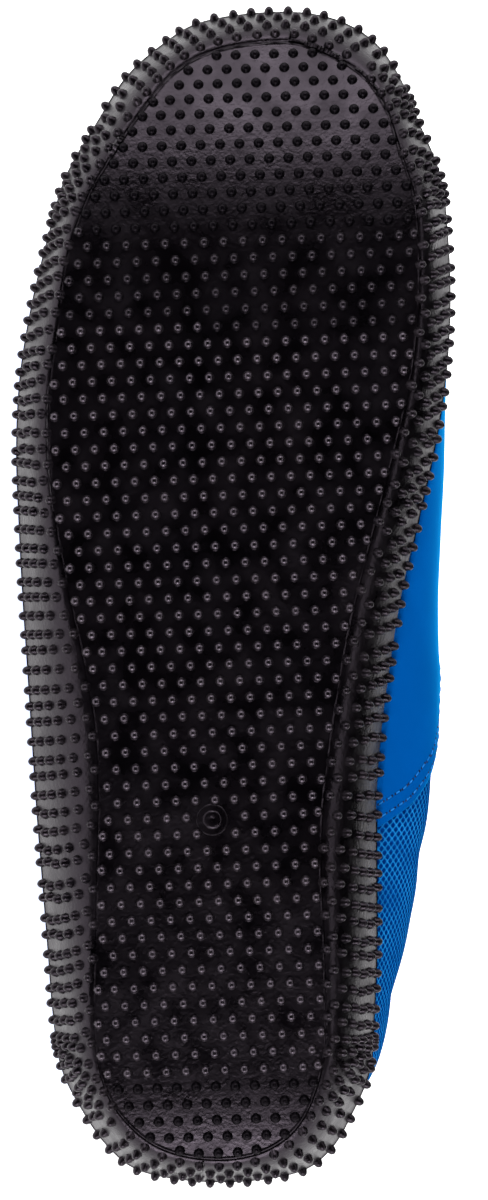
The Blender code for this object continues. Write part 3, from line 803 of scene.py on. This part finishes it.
def base_skin(angle, inner):
    """Skin of the sole between the nubs, from the tread's middle to the rim."""
    rings, normals, heights = sole_rings(angle, inner)
    uneven = 1.0 + 0.5 * np.sin(angle * 61.0) * np.sin(angle * 23.0 + inner)
    skin = []
    for ring, normal, height in zip(rings, normals, heights):
        lift = (height * uneven if height > 0.0 else height * np.ones(len(angle))) - NUB_HEIGHT
        skin.append(ring + normal * lift[:, None])
    return skin


def cup_skin(angle, inner, extra):
    """Inside of the cup, from its rim down the side to the middle of the floor."""
    side = [side_points(angle, inner, share) for share in CUP_ROWS]
    outward = list(skin_normals(side[::-1])[::-1])
    floor = [tread_row(angle, inner, share) for share in FLOOR_ROWS]
    rings = side + [row for row, _ in floor]
    outward += [normal for _, normal in floor]
    depths = [SOLE_PLATE + (SOLE_WALL - SOLE_PLATE) * share for share in CUP_ROWS]
    depths += [SOLE_PLATE] * len(floor)
    return [ring - normal * (depth + extra) for ring, normal, depth in zip(rings, outward, depths)]


# The rounded lip of the cup, from outside to inside: distance in from the rim, and down from it.
LIP_SECTION = (
    (NUB_HEIGHT + 0.0001, 0.0004),
    (NUB_HEIGHT + 0.0004, 0.0),
    (SOLE_WALL - 0.0004, 0.0),
    (SOLE_WALL, 0.0004),
)


def add_outsole(material):
    """Cup sole between the nubs: tread, parting line, flared side, rounded lip and inside."""
    angle, inner = loop_sections(*SOLE_SECTIONS)
    out = rim_normals(angle, inner)
    rim = rim_points(angle, inner)
    lip = [rim - out * inwards - UP * down for inwards, down in LIP_SECTION]
    mesh = bmesh.new()
    add_rings(mesh, base_skin(angle, inner) + lip + cup_skin(angle, inner, 0.0))
    bmesh.ops.recalc_face_normals(mesh, faces=mesh.faces)
    return add_piece("outsole_body", mesh, material, ["outsole"])


def lattice_points():
    """Rows and plan positions of the nubs' lattice round the whole sole."""
    row = np.array([math.sin(NUB_ROW_TILT), math.cos(NUB_ROW_TILT)])
    ahead = np.array([math.cos(NUB_ROW_TILT), -math.sin(NUB_ROW_TILT)])
    points = []
    for i in range(-LATTICE_REACH, LATTICE_REACH):
        for j in range(-LATTICE_REACH, LATTICE_REACH):
            shift = i + 0.5 * (j % 2)
            flat = np.array(NUB_ORIGIN) + NUB_PITCH * (shift * row + j * math.sqrt(0.75) * ahead)
            beyond = flat[0] - TOE_BREAK
            if beyond > 0.0:
                flat[0] -= TOE_SQUEEZE * beyond**3
            points.append((j, flat))
    return points


def side_sections():
    """Dense sections of the sole's side with their arc lengths, for placing nubs."""
    angle, inner = loop_sections(*PLACING_SECTIONS)
    shares = np.linspace(0.0, 1.0, PLACING_ROWS)
    rings = np.array([side_points(angle, inner, share) for share in shares])
    steps = np.linalg.norm(np.diff(rings, axis=0), axis=2)
    arcs = np.concatenate([np.zeros((1, rings.shape[1])), np.cumsum(steps, axis=0)])
    return rings, arcs, rim_normals(angle, inner)


def point_up_side(rings, arcs, section, distance):
    """Point of one section of the sole's side at an arc length from the parting line."""
    return np.array([np.interp(distance, arcs[:, section], rings[:, section, axis]) for axis in range(3)])


def add_row_up_side(found, sections, start, first):
    """Nubs of one lattice row that runs on from the tread over the edge, evenly up to the rim."""
    rings, arcs, outward, travelled = sections
    normal = outward[start, :2]
    tangent = np.array([-normal[1], normal[0]])
    row = np.array([math.sin(NUB_ROW_TILT), math.cos(NUB_ROW_TILT)])
    drift = float(row @ tangent) / float(row @ normal)
    onwards = rings[0, (start + 1) % rings.shape[1], :2] - rings[0, start, :2]
    forwards = 1.0 if onwards @ tangent > 0 else -1.0
    last = arcs[-1, start] - NUB_RIM_GAP
    count = max(1, round((last - first) / SIDE_PITCH))
    for reach in first + np.arange(count + 1) * (last - first) / count:
        place = (travelled[start] + forwards * drift * (reach - first)) % travelled[-1]
        section = int(np.searchsorted(travelled, place)) % rings.shape[1]
        found.append(point_up_side(rings, arcs, section, min(reach, arcs[-1, section] - NUB_RIM_GAP)))


def add_end_rings(found, sections):
    """Rings of nubs round the side of the toe and the heel, evenly spaced as seen from below."""
    rings, _, outward, _ = sections
    steps = np.linalg.norm(np.diff(rings[:, :, :2], axis=0), axis=2)
    runs = np.concatenate([np.zeros((1, rings.shape[1])), np.cumsum(steps, axis=0)])
    for row in range(END_RINGS):
        share = row / (END_RINGS - 1)
        reach = END_RING_START + share * (runs[-1] - END_RING_GAP - END_RING_START)
        loop = np.array([point_up_side(rings, runs, k, reach[k]) for k in range(rings.shape[1])])
        steps = np.linalg.norm(np.roll(loop, -1, axis=0) - loop, axis=1)
        travelled = np.concatenate([[0.0], np.cumsum(steps)])
        count = int(travelled[-1] / NUB_PITCH)
        for n in range(count):
            place = (n + 0.5 * (row % 2)) * travelled[-1] / count
            section = min(int(np.searchsorted(travelled, place, side="right")) - 1, len(loop) - 1)
            if abs(outward[section, 0]) < END_FACING - END_OVERLAP:
                continue
            if min(np.linalg.norm(np.array(found) - loop[section], axis=1)) > NUB_GAP:
                found.append(loop[section])


def nub_places():
    """Places of the nubs on the skin over their tips: those of the tread and those of the side."""
    rings, arcs, outward = side_sections()
    edge = rings[0, :, :2]
    steps = np.linalg.norm(np.roll(edge, -1, axis=0) - edge, axis=1)
    sections = rings, arcs, outward, np.concatenate([[0.0], np.cumsum(steps)])
    gate = np.array([GATE_X, GATE_Y])
    tread, firsts = [], {}
    for row, flat in lattice_points():
        gaps = np.linalg.norm(edge - flat, axis=1)
        section = int(gaps.argmin())
        if float((flat - edge[section]) @ outward[section, :2]) < 0.0:
            if gaps[section] < NUB_LINE_GAP:
                flat = edge[section] - outward[section, :2] * NUB_LINE_GAP
            if np.linalg.norm(flat - gate) > GATE_RADIUS + GATE_GAP:
                tread.append(flat)
        elif abs(outward[section, 0]) < END_FACING:
            key = (row, outward[section, 1] > 0.0)
            reach = max(gaps[section], NUB_LINE_GAP)
            if key not in firsts or reach < firsts[key][1]:
                firsts[key] = (section, reach)
    side = []
    for start, first in firsts.values():
        if first < FIRST_SIDE_REACH:
            add_row_up_side(side, sections, start, first)
    add_end_rings(side, sections)
    return tread, side


# Nubs in zones along the tread, each zone with its own rubber: piece, rubber, and the stretch of the tread
# along the shoe. The zones' rubbers paint light and shade: a painted highlight on the mid-tread nubs,
# painted shade on the toe and heel nubs, and half shade at the ball.
NUB_ZONES = (
    ("heel_nubs", "shaded_end_nub_rubber", 0.0, 0.030),
    ("tread_nubs", "nub_rubber", 0.030, 0.200),
    ("ball_nubs", "half_shaded_nub_rubber", 0.200, 0.222),
    ("toe_nubs", "shaded_end_nub_rubber", 0.222, SOLE_LENGTH),
)
MOULD_LINE_PLACE = Vector((0.2690, 0.0077, 0.008))
MOULD_LINE_GAP = 0.0030
SEARCH_DEPTH = 0.05


def add_nub_piece(name, shape, faces, seats, material):
    """One piece of nubs on seats of (point, normal), each nub a little off square."""
    places = []
    for hit, normal in seats:
        out = -Vector(normal) if normal.z > 0.5 else Vector(normal)
        sway = Vector((draws.uniform(-NUB_SWAY, NUB_SWAY), draws.uniform(-NUB_SWAY, NUB_SWAY), 0.0))
        side_way, forward, out = frame_at(out + sway, (1.0, 0.0, 0.2))
        places.append((hit, side_way, forward, out))
    add_piece(name, repeat_shape(name, shape, faces, places), material, smooth_angle=60.0)


def add_nubs(rubbers):
    """Every nub as a small blunt cone with a dimple in its tip, standing on the skin between them."""
    angle, inner = loop_sections(*SOLE_SECTIONS)
    tree = surface_tree(base_skin(angle, inner))
    shape, faces = lathe(NUB_PROFILE, NUB_SIDES, NUB_DIMPLE)
    tread, side = nub_places()
    seats = {zone[0]: [] for zone in NUB_ZONES}
    for x, y in tread:
        hit, normal, _, _ = tree.ray_cast(Vector((x, y, -SEARCH_DEPTH)), Vector(UP))
        if hit is not None:
            piece = next(name for name, _, start, end in NUB_ZONES if start <= x < end)
            seats[piece].append((hit, normal))
    for name, rubber, _, _ in NUB_ZONES:
        add_nub_piece(name, shape, faces, seats[name], rubbers[rubber])
    found = [tree.find_nearest(Vector(point))[:2] for point in side]
    found = [seat for seat in found if (seat[0] - MOULD_LINE_PLACE).length > MOULD_LINE_GAP]
    stretched = np.array(shape) * SIDE_NUB_STRETCH
    add_nub_piece("side_nubs", stretched, faces, found, rubbers["side_nub_rubber"])


# Section of the gate's mark: radius, and height over the skin between the nubs, positive inwards.
GATE_SECTION = (
    (GATE_RADIUS + 0.00035, 0.0003),
    (GATE_RADIUS + 0.00025, -0.00005),
    (GATE_RADIUS + 0.00005, -0.00018),
    (GATE_RADIUS - 0.00020, 0.0001),
    (GATE_RADIUS - 0.00030, 0.0008),
    (GATE_BOSS_RADIUS + 0.00030, 0.0008),
    (GATE_BOSS_RADIUS + 0.00020, 0.0001),
    (GATE_BOSS_RADIUS - 0.00010, -0.00022),
    (GATE_BOSS_RADIUS - 0.00060, -0.00034),
    (GATE_BOSS_RADIUS - 0.00130, -0.00028),
    (0.00040, -0.00020),
    (0.00040, 0.0012),
)
GATE_SIDES = 40


def add_gate_mark(material):
    """The moulding gate's mark: a ring with a raised wall round a sunk boss."""
    turns = np.linspace(0.0, 2.0 * math.pi, GATE_SIDES, endpoint=False)
    circle = np.stack([np.cos(turns), np.sin(turns), np.zeros(GATE_SIDES)], axis=-1)
    centre = np.array([GATE_X, GATE_Y, NUB_HEIGHT])
    rings = [centre + circle * radius + UP * height for radius, height in GATE_SECTION]
    mesh = bmesh.new()
    add_rings(mesh, rings, closed_section=True)
    bmesh.ops.recalc_face_normals(mesh, faces=mesh.faces)
    add_piece("gate_mark", mesh, material)


# Section of a fin of squeezed rubber: share of its width, share of its height, and rise in metres.
RIBBON_SECTION = (
    (-0.5, 0.0, -0.0003),
    (-0.5, 0.5, 0.0),
    (0.0, 1.0, 0.0),
    (0.5, 0.4, 0.0),
    (0.5, 0.0, -0.0003),
)


def add_ribbon(name, points, outs, heights, width, material):
    """Thin ragged fin of rubber along points of the skin."""
    points, outs = np.array(points), unit(np.array(outs))
    side = np.cross(unit(np.gradient(points, axis=0)), outs)
    heights = np.array(heights)[:, None]
    corners = [
        points + side * width * across + outs * (heights * tall + rise)
        for across, tall, rise in RIBBON_SECTION
    ]
    mesh = bmesh.new()
    rows = [[mesh.verts.new(point) for point in corner] for corner in corners]
    for k in range(len(rows)):
        first, second = rows[k], rows[(k + 1) % len(rows)]
        for i in range(len(points) - 1):
            mesh.faces.new((first[i], first[i + 1], second[i + 1], second[i]))
    mesh.faces.new([row[0] for row in rows])
    mesh.faces.new([row[-1] for row in rows][::-1])
    bmesh.ops.recalc_face_normals(mesh, faces=mesh.faces)
    add_piece(name, mesh, material, smooth_angle=30.0)


# Flash on the parting line: name, first and last section angle, whether on the inner side, height
# and width.
FLASH_TABLE = (
    ("toe_flash_inner", 2.86, 3.03, True, 0.0014, 0.0013),
    ("toe_flash_middle", 3.03, 3.12, True, 0.0006, 0.0005),
    ("toe_nick_inner", 2.70, 2.81, True, 0.0008, 0.0007),
    ("toe_nick_outer", 2.46, 2.53, False, 0.0013, 0.0014),
    ("ball_flash_outer", 1.72, 1.95, False, 0.0005, 0.0004),
    ("heel_flash_inner", 0.62, 0.80, True, 0.0005, 0.0004),
)
FLASH_POINTS = 12
FLASH_STEP = 0.004

# Mould lines: name, section angle and whether on the inner side.
MOULD_LINES = (
    ("toe_mould_line", 3.12, True),
    ("heel_mould_line", 0.05, False),
)
MOULD_LINE_SHARES = np.linspace(0.06, 0.95, 30)
MOULD_LINE_HEIGHT = 0.00055
MOULD_LINE_WIDTH = 0.0005


def add_flash(material):
    """Rubber that the mould squeezed out along the parting line."""
    for name, first, last, on_inner, height, width in FLASH_TABLE:
        angle = np.linspace(first, last, max(FLASH_POINTS, int((last - first) / FLASH_STEP)))
        inner = np.full(len(angle), on_inner)
        edge = side_points(angle, inner, 0.01)
        out = rim_normals(angle, inner)
        points = edge + UP * NUB_HEIGHT
        fade = np.sin(np.linspace(0.0, math.pi, len(angle))) ** 0.5
        heights = [height * share * draws.uniform(0.35, 1.0) for share in fade]
        add_ribbon(name, points, out * 0.35 - UP, heights, width, material)


def add_mould_lines(material):
    """Lines of the two mould halves up the sole's side at the toe and the heel."""
    for name, angle_at, on_inner in MOULD_LINES:
        angle = np.full(len(MOULD_LINE_SHARES), angle_at)
        inner = np.full(len(MOULD_LINE_SHARES), on_inner)
        points = side_points(angle, inner, MOULD_LINE_SHARES[:, None])
        slopes = unit(np.gradient(points, axis=0))
        out = rim_normals(angle, inner)
        normal = unit(out - slopes * np.sum(out * slopes, axis=1, keepdims=True))
        heights = [MOULD_LINE_HEIGHT * draws.uniform(0.5, 1.1) for _ in MOULD_LINE_SHARES]
        add_ribbon(name, points - normal * NUB_HEIGHT, normal, heights, MOULD_LINE_WIDTH, material)


# Upper


# Soft folds behind the panel: whether on the inner side, section angle and share of the wall at the
# middle, how the fold leans, its half width and half length in angle and share, and its depth.
FOLD_TABLE = (
    (True, 0.86, 0.52, 0.30, 0.050, 0.30, 0.0007),
    (True, 1.08, 0.60, -0.25, 0.045, 0.26, 0.0006),
    (True, 0.55, 0.45, 0.15, 0.060, 0.28, 0.0006),
    (False, 0.80, 0.55, 0.25, 0.055, 0.30, 0.0008),
    (False, 1.02, 0.50, -0.20, 0.045, 0.28, 0.0006),
    (False, 0.50, 0.50, 0.20, 0.060, 0.26, 0.0006),
)


def fold_depth(angle, inner, share):
    """How far the soft folds sink at each section of one row of the wall."""
    depth = np.zeros(len(angle))
    for on_inner, middle, height, lean, width, length, deepest in FOLD_TABLE:
        across = (angle - middle - lean * (share - height)) / width
        along = (share - height) / length
        trough = np.exp(-(across**2)) - 0.35 * np.exp(-((np.abs(across) - 1.6) ** 2))
        depth += np.where(inner == on_inner, deepest * math.exp(-(along**2)) * trough, 0.0)
    return depth


def upper_rings(angle, inner, rows, inset=0.0):
    """Dense skin of the upper's wall above the rim, with its soft folds, moved inwards by an inset."""
    rings = [free_points(angle, inner, share) for share in rows]
    normals = skin_normals(rings, angle > THROAT_ANGLE - ANGLE_STEP)
    return [
        ring - normal * (fold_depth(angle, inner, share) + inset)[:, None]
        for ring, normal, share in zip(rings, normals, rows)
    ]


def buried_rings(angle, inner, inset=0.0):
    """Part of the upper that goes down inside the cup, moved inwards by an inset."""
    return cup_skin(angle, inner, CLEARANCE + inset)[6:1:-1]


def add_upper(material, lining_material):
    """Mesh wall of the upper, and the lining inside it."""
    angle, inner = loop_sections(*UPPER_SECTIONS)
    rows = np.linspace(0.0, 1.0, WALL_ROWS)
    skin = upper_rings(angle, inner, rows)
    mesh = bmesh.new()
    add_rings(mesh, buried_rings(angle, inner) + skin)
    upper = add_piece("upper_mesh", mesh, material, ["upper"])
    solidify(upper, UPPER_WALL, -1.0)
    inset = UPPER_WALL + LINING_GAP
    lining_skin = buried_rings(angle, inner, inset) + upper_rings(angle, inner, LINING_ROWS, inset)
    lining_mesh = bmesh.new()
    add_rings(lining_mesh, lining_skin)
    lining = add_piece("lining", lining_mesh, lining_material)
    solidify(lining, LINING_WALL, -1.0)
    return skin


# Steps of the section angle forwards from the panel's rear edge, how far the panel stands off the
# wall there, its rows up the wall, and the shares over which its two rear edges meet.
PANEL_STEPS = np.array([0.0, 0.004, 0.010, 0.018, 0.030])
PANEL_LIFTS = np.array([0.0001, 0.0002, 0.0003, 0.0005, PANEL_LIFT])
PANEL_ROWS = (*np.linspace(0.004, 0.9, 34), 0.94, 0.97, 1.0)
PANEL_MEETING = (0.80, 1.0)
PANEL_COLUMNS_AHEAD = 90


def panel_grid():
    """Rows of the smooth panel on the upper's wall, each from the inner rear edge round the toe to
    the outer rear edge, and how far each column stands off the wall."""
    rings = []
    for share in PANEL_ROWS:
        edge_in, edge_out = panel_edge_angle(share, True), panel_edge_angle(share, False)
        meet = float(smooth_step(*PANEL_MEETING, share))
        mean = (edge_in + edge_out) / 2
        halves = []
        for edge, on_inner in ((edge_in, True), (edge_out, False)):
            start = edge + (mean - edge) * meet
            ahead = np.linspace(start + PANEL_STEPS[-1], math.pi, PANEL_COLUMNS_AHEAD)
            angle = np.concatenate([start + PANEL_STEPS, ahead[1:]])
            inner = np.full(len(angle), on_inner)
            halves.append(free_points(angle, inner, share))
        rings.append(np.concatenate([halves[0], halves[1][-2::-1]]))
    column_lift = np.full(len(rings[0]), PANEL_LIFT)
    column_lift[: len(PANEL_LIFTS)] = PANEL_LIFTS
    column_lift[-len(PANEL_LIFTS) :] = PANEL_LIFTS[::-1]
    return rings, column_lift


def add_panel(material):
    """Smooth panel whose rear edge is sewn down to the mesh. Returns its outer skin."""
    rings, column_lift = panel_grid()
    points = np.array(rings)
    normals = unit(np.cross(np.gradient(points, axis=0), np.gradient(points, axis=1)))
    normals[-1] = unit(normals[-1] + normals[-1, ::-1])
    lifted = points + normals * column_lift[:, None]
    mesh = bmesh.new()
    add_rings(mesh, lifted, closed_loops=False)
    panel = add_piece("side_panel", mesh, material, ["vamp_panel"])
    solidify(panel, PANEL_WALL, 1.0)
    return lifted + normals * PANEL_WALL


def even_points(curve, pitch):
    """Points at an even pitch along a curve, with its direction there."""
    curve = np.array(curve)
    steps = np.linalg.norm(np.diff(curve, axis=0), axis=1)
    travelled = np.concatenate([[0.0], np.cumsum(steps)])
    count = max(2, round(travelled[-1] / pitch))
    places = (np.arange(count) + 0.5) * travelled[-1] / count

    def read(distance):
        return np.stack([np.interp(distance, travelled, curve[:, axis]) for axis in range(3)], axis=-1)

    return read(places), unit(read(places + pitch / 2) - read(places - pitch / 2))


# Sides of a thread's section, and the turns from its rear tip at which its rings lie.
THREAD_SIDES = 8
THREAD_TURNS = (14.0, 35.0, 62.0, 90.0, 118.0, 145.0)


def stitch_shape(length, radius):
    """Small loop of thread, rounded at both ends, along its own third axis."""
    turns = np.radians(THREAD_TURNS)
    profile = [(radius * math.sin(t) ** 0.6, -length / 2 * math.cos(t)) for t in turns]
    return lathe(profile, THREAD_SIDES, length / 2)


def add_stitch_row(name, seats, length, radius, material):
    """Row of stitches on seats of (point, direction along the row, normal)."""
    shape, faces = stitch_shape(length, radius)
    places = []
    for point, along, normal in seats:
        side, forward, out = frame_at(normal, along)
        places.append((point, out, side, forward))
    data = repeat_shape(name, shape, faces, places)
    add_piece(name, data, material, smooth_angle=60.0)


# The panel's rows of stitches: name and distance from the rear edge. Then the length and the thread
# radius of one stitch, and the low dark discs at its ends that paint the shade of its needle holes.
PANEL_STITCH_ROWS = (("outer", 0.0020), ("inner", 0.0052))
PANEL_STITCH_LENGTH = 0.52 * STITCH_PITCH
PANEL_THREAD = 0.00018
HOLE_OFFSET = 0.30 * STITCH_PITCH
HOLE_PROFILE = ((0.00030, -0.0002), (0.00034, 0.00002), (0.00026, 0.00006))
HOLE_TIP = 0.00004


def add_panel_stitches(skin, thread, hole_shade):
    """Two rows of stitches along the panel's rear edge, over the instep and down the other side."""
    tree = surface_tree(skin, closed_loops=False)
    curve = np.concatenate([skin[1:, 0], skin[-2:0:-1, -1]])
    points, along = even_points(curve, STITCH_PITCH)
    hole_shape, hole_faces = lathe(HOLE_PROFILE, THREAD_SIDES, HOLE_TIP)
    for name, distance in PANEL_STITCH_ROWS:
        seats, holes = [], []
        for point, direction in zip(points, along):
            _, normal, _, _ = tree.find_nearest(Vector(point))
            inwards = np.cross(normal, direction)
            inwards = inwards if inwards[0] > 0.0 else -inwards
            hit, normal, _, _ = tree.find_nearest(Vector(point + inwards * distance))
            seats.append((hit, direction, normal))
            # Flat dark discs at both ends of each stitch: painted shade of the needle holes.
            for end in (-1.0, 1.0):
                place, out, _, _ = tree.find_nearest(hit + Vector(direction) * end * HOLE_OFFSET)
                side, forward, out = frame_at(out, direction)
                holes.append((place, side, forward, out))
        row = "panel_stitches_" + name
        add_stitch_row(row, seats, PANEL_STITCH_LENGTH, PANEL_THREAD, thread)
        data = repeat_shape("panel_stitch_holes_" + name, hole_shape, hole_faces, holes)
        add_piece("panel_stitch_holes_" + name, data, hole_shade)


# Distances down the wall from the collar's edge, and off the wall, round the binding's section.
BINDING_SECTION = (
    (0.0056, -0.0023),
    (0.0040, -0.0027),
    (0.0018, -0.0029),
    (0.0000, -0.0027),
    (-0.0008, -0.0018),
    (-0.0010, -0.0008),
    (-0.0007, 0.0007),
    (0.0005, 0.0014),
    (0.0024, 0.0016),
    (0.0046, 0.0015),
    (0.0059, 0.0012),
    (0.0063, 0.0005),
    (0.0062, -0.0006),
    (0.0058, -0.0016),
)

# Points on each side of the collar, the step from the edge to the wall below it, the way down, and
# the ring, pitch, length and thread radius of the stitches.
BINDING_POINTS = 130
BINDING_PROBE = Vector((0.001, 0.0, -0.004))
BINDING_DOWN = np.array([0.4, 0.0, -1.0])
BINDING_STITCH_RING = 9
BINDING_STITCH_PITCH = 0.0026
BINDING_STITCH_LENGTH = 0.0017
BINDING_THREAD = 0.00024


def smoothed(directions, times):
    """Unit directions round a loop, evened out with their neighbours."""
    for _ in range(times):
        around = np.roll(directions, -1, axis=0) + 2 * directions + np.roll(directions, 1, axis=0)
        directions = unit(around)
    return directions


def add_binding(skin, material, thread):
    """Folded tape over the collar's edge with its row of stitches."""
    tree = surface_tree(skin)
    angle = np.linspace(0.0, THROAT_ANGLE, BINDING_POINTS)
    inner_side = top_points(angle, np.full(len(angle), True))
    outer_side = top_points(angle, np.full(len(angle), False))
    loop = np.concatenate([inner_side, outer_side[-2:0:-1]])
    along = smoothed(unit(np.roll(loop, -1, axis=0) - np.roll(loop, 1, axis=0)), 3)
    normals, downs = [], []
    for point, direction in zip(loop, along):
        _, normal, _, _ = tree.find_nearest(Vector(point) + BINDING_PROBE)
        down = unit(np.cross(normal, direction))
        downs.append(down if down @ BINDING_DOWN > 0.0 else -down)
        normals.append(np.array(normal))
    normals, downs = smoothed(np.array(normals), 4), smoothed(np.array(downs), 4)
    rings = []
    for distance, off in BINDING_SECTION:
        ring = loop + downs * distance
        if distance > 0.001:
            ring = np.array([tree.find_nearest(Vector(point))[0] for point in ring])
        rings.append(ring + normals * off)
    mesh = bmesh.new()
    add_rings(mesh, rings, closed_section=True)
    bmesh.ops.recalc_face_normals(mesh, faces=mesh.faces)
    add_piece("collar_binding", mesh, material, ["upper"])
    places, directions = even_points(rings[BINDING_STITCH_RING], BINDING_STITCH_PITCH)
    seats = []
    for point, direction in zip(places, directions):
        _, normal, _, _ = tree.find_nearest(Vector(point))
        seats.append((point + np.array(normal) * 0.0001, direction, normal))
    add_stitch_row(
        "collar_stitches", seats, BINDING_STITCH_LENGTH, BINDING_THREAD, thread
    )


def add_insole(material):
    """Foam sheet with a fabric top on the cup's floor."""
    angle, inner = loop_sections(*INSOLE_SECTIONS)
    under = cup_skin(angle, inner, CLEARANCE)[-4:][::-1]
    over = cup_skin(angle, inner, CLEARANCE + INSOLE_THICKNESS)[-4:]
    mesh = bmesh.new()
    add_rings(mesh, under + over)
    bmesh.ops.recalc_face_normals(mesh, faces=mesh.faces)
    add_piece("insole_sheet", mesh, material, ["insole"])


# Stage


def add_plane(name, centre, across, up, size, material):
    """Flat square of the stage."""
    centre, across, up = Vector(centre), Vector(across).normalized(), Vector(up).normalized()
    corners = [centre + (across * i + up * j) * size / 2 for i, j in ((-1, -1), (1, -1), (1, 1), (-1, 1))]
    data = bpy.data.meshes.new(name)
    data.from_pydata(corners, [], [(0, 1, 2, 3)])
    data.materials.append(material)
    plane = bpy.data.objects.new(name, data)
    bpy.context.scene.collection.objects.link(plane)
    return plane


def add_light(name, place, target, size, power):
    """Square soft light."""
    data = bpy.data.lights.new(name, "AREA")
    data.shape = "SQUARE"
    data.size = size
    data.energy = power
    light = bpy.data.objects.new(name, data)
    light.location = place
    light.rotation_euler = (Vector(target) - Vector(place)).to_track_quat("-Z", "Y").to_euler()
    bpy.context.scene.collection.objects.link(light)


# The black flags behind the camera and over the inner side: name, centre, axis besides the length
# and size. The lights off the toe and the heel: name, place, size and power. All places and axes
# are in the standing shoe's frame.
FLAGS = (
    ("flag", (0.1358, 0.0, -1.0), (0, 1, 0), 2.2),
    ("side_flag", (0.1358, 0.80, 0.10), (0, 0, 1), 1.0),
)
LIGHTS = (
    ("toe_light", (0.86, 0.0, -0.55), 0.40, 1.7),
    ("heel_light", (-0.52, 0.0, -0.62), 0.40, 3.6),
)
LIGHT_TARGET = (0.137, 0.0, 0.03)
FLOOR_SIZE = 12.0
WORLD_STRENGTH = 1.4
WHITE = (1.0, 1.0, 1.0, 1.0)


def add_stage():
    """Pale floor, white surroundings, soft lights, a black flag behind the camera that keeps the
    flat tread dark, and one over the inner side."""
    turn = LAID.to_3x3()
    pale, _, shader = start_material("pale_floor", (0.80, 0.80, 0.80), 0.9)
    shader.inputs["Emission Color"].default_value = WHITE
    shader.inputs["Emission Strength"].default_value = 1.0
    floor = add_plane("floor", (0, 0, 0), (1, 0, 0), (0, 1, 0), FLOOR_SIZE, pale)
    floor.visible_glossy = False
    black, _, shader = start_material("black_flag", (0.0, 0.0, 0.0), 1.0)
    shader.inputs["Specular IOR Level"].default_value = 0.0
    for name, centre, axis, size in FLAGS:
        along, second = turn @ Vector((1, 0, 0)), turn @ Vector(axis)
        flag = add_plane(name, LAID @ Vector(centre), along, second, size, black)
        flag.visible_camera = False
    world = bpy.context.scene.world or bpy.data.worlds.new("surroundings")
    bpy.context.scene.world = world
    world.use_nodes = True
    backdrop = world.node_tree.nodes["Background"]
    backdrop.inputs["Color"].default_value = WHITE
    backdrop.inputs["Strength"].default_value = WORLD_STRENGTH
    for name, place, size, power in LIGHTS:
        add_light(name, LAID @ Vector(place), LAID @ Vector(LIGHT_TARGET), size, power)
    bpy.context.scene.view_settings.view_transform = "Standard"


def add_camera():
    """Camera at the photograph's place, toe up, lying on its side as the shoe does."""
    data = bpy.data.cameras.new("camera")
    data.lens = CAMERA_LENS
    data.sensor_width = CAMERA_SENSOR
    data.clip_start, data.clip_end = CAMERA_CLIP
    camera = bpy.data.objects.new("camera", data)
    bpy.context.scene.collection.objects.link(camera)
    turn = LAID.to_3x3()
    axes = (turn @ Vector((0, 1, 0)), turn @ Vector((1, 0, 0)), turn @ Vector((0, 0, -1)))
    place = Matrix(axes).transposed().to_4x4()
    place.translation = LAID @ Vector(CAMERA_PLACE)
    camera.matrix_world = place
    bpy.context.scene.camera = camera


# Rubber of the sole and of the nubs, copies of one black rubber: name, dark and dusty colours, roughness,
# gloss.
# The nubs' copies differ in colour and gloss to paint light and shade: the mid-tread nubs lighter and
# glossier as a painted highlight, the toe and heel nubs darker and dull as painted shade, the ball's nubs
# between.
RUBBERS = (
    ("tread_rubber", (0.0002, 0.0001, 0.0004), (0.0006, 0.0003, 0.0007), 0.30, 0.44),
    ("nub_rubber", (0.0012, 0.0010, 0.0016), (0.0050, 0.0040, 0.0044), 0.27, 1.0),
    ("half_shaded_nub_rubber", (0.0008, 0.0006, 0.0012), (0.0030, 0.0024, 0.0030), 0.30, 0.45),
    ("shaded_end_nub_rubber", (0.0004, 0.0003, 0.0008), (0.0014, 0.0010, 0.0016), 0.34, 0.12),
    ("side_nub_rubber", (0.0010, 0.0008, 0.0014), (0.0040, 0.0030, 0.0036), 0.30, 0.38),
)

# Fabrics: name, low and high colours of the weave, and its cell. Then the threads, and the dark colour
# painted on the needle holes as their shade.
CLOTHS = (
    ("lining_cloth", (0.012, 0.016, 0.035), (0.035, 0.045, 0.085), 0.0011),
    ("binding_tape", (0.006, 0.007, 0.011), (0.022, 0.024, 0.034), 0.0009),
    ("insole_cloth", (0.014, 0.015, 0.018), (0.045, 0.047, 0.055), 0.0013),
)
BLUE_THREAD = (0.004, 0.200, 0.62)
DARK_THREAD = (0.012, 0.012, 0.016)
HOLE_SHADE_COLOUR = (0.0, 0.012, 0.070)


def add_sole():
    """Outsole with its nubs and all marks of the mould."""
    rubbers = {name: rubber_material(name, *looks) for name, *looks in RUBBERS}
    tread_rubber = rubbers["tread_rubber"]
    add_outsole(tread_rubber)
    add_nubs(rubbers)
    add_gate_mark(tread_rubber)
    add_flash(tread_rubber)
    add_mould_lines(tread_rubber)


def add_sock():
    """Upper with its panel, binding, lining and seams, and the insole."""
    cloths = {name: cloth_material(name, *looks) for name, *looks in CLOTHS}
    thread = thread_material("blue_thread", BLUE_THREAD)
    hole_shade = thread_material("stitch_hole", HOLE_SHADE_COLOUR)
    skin = add_upper(mesh_material(), cloths["lining_cloth"])
    panel_skin = add_panel(film_material())
    add_panel_stitches(panel_skin, thread, hole_shade)
    add_binding(skin, cloths["binding_tape"], thread_material("dark_thread", DARK_THREAD))
    add_insole(cloths["insole_cloth"])


add_sole()
add_sock()
add_stage()
add_camera()
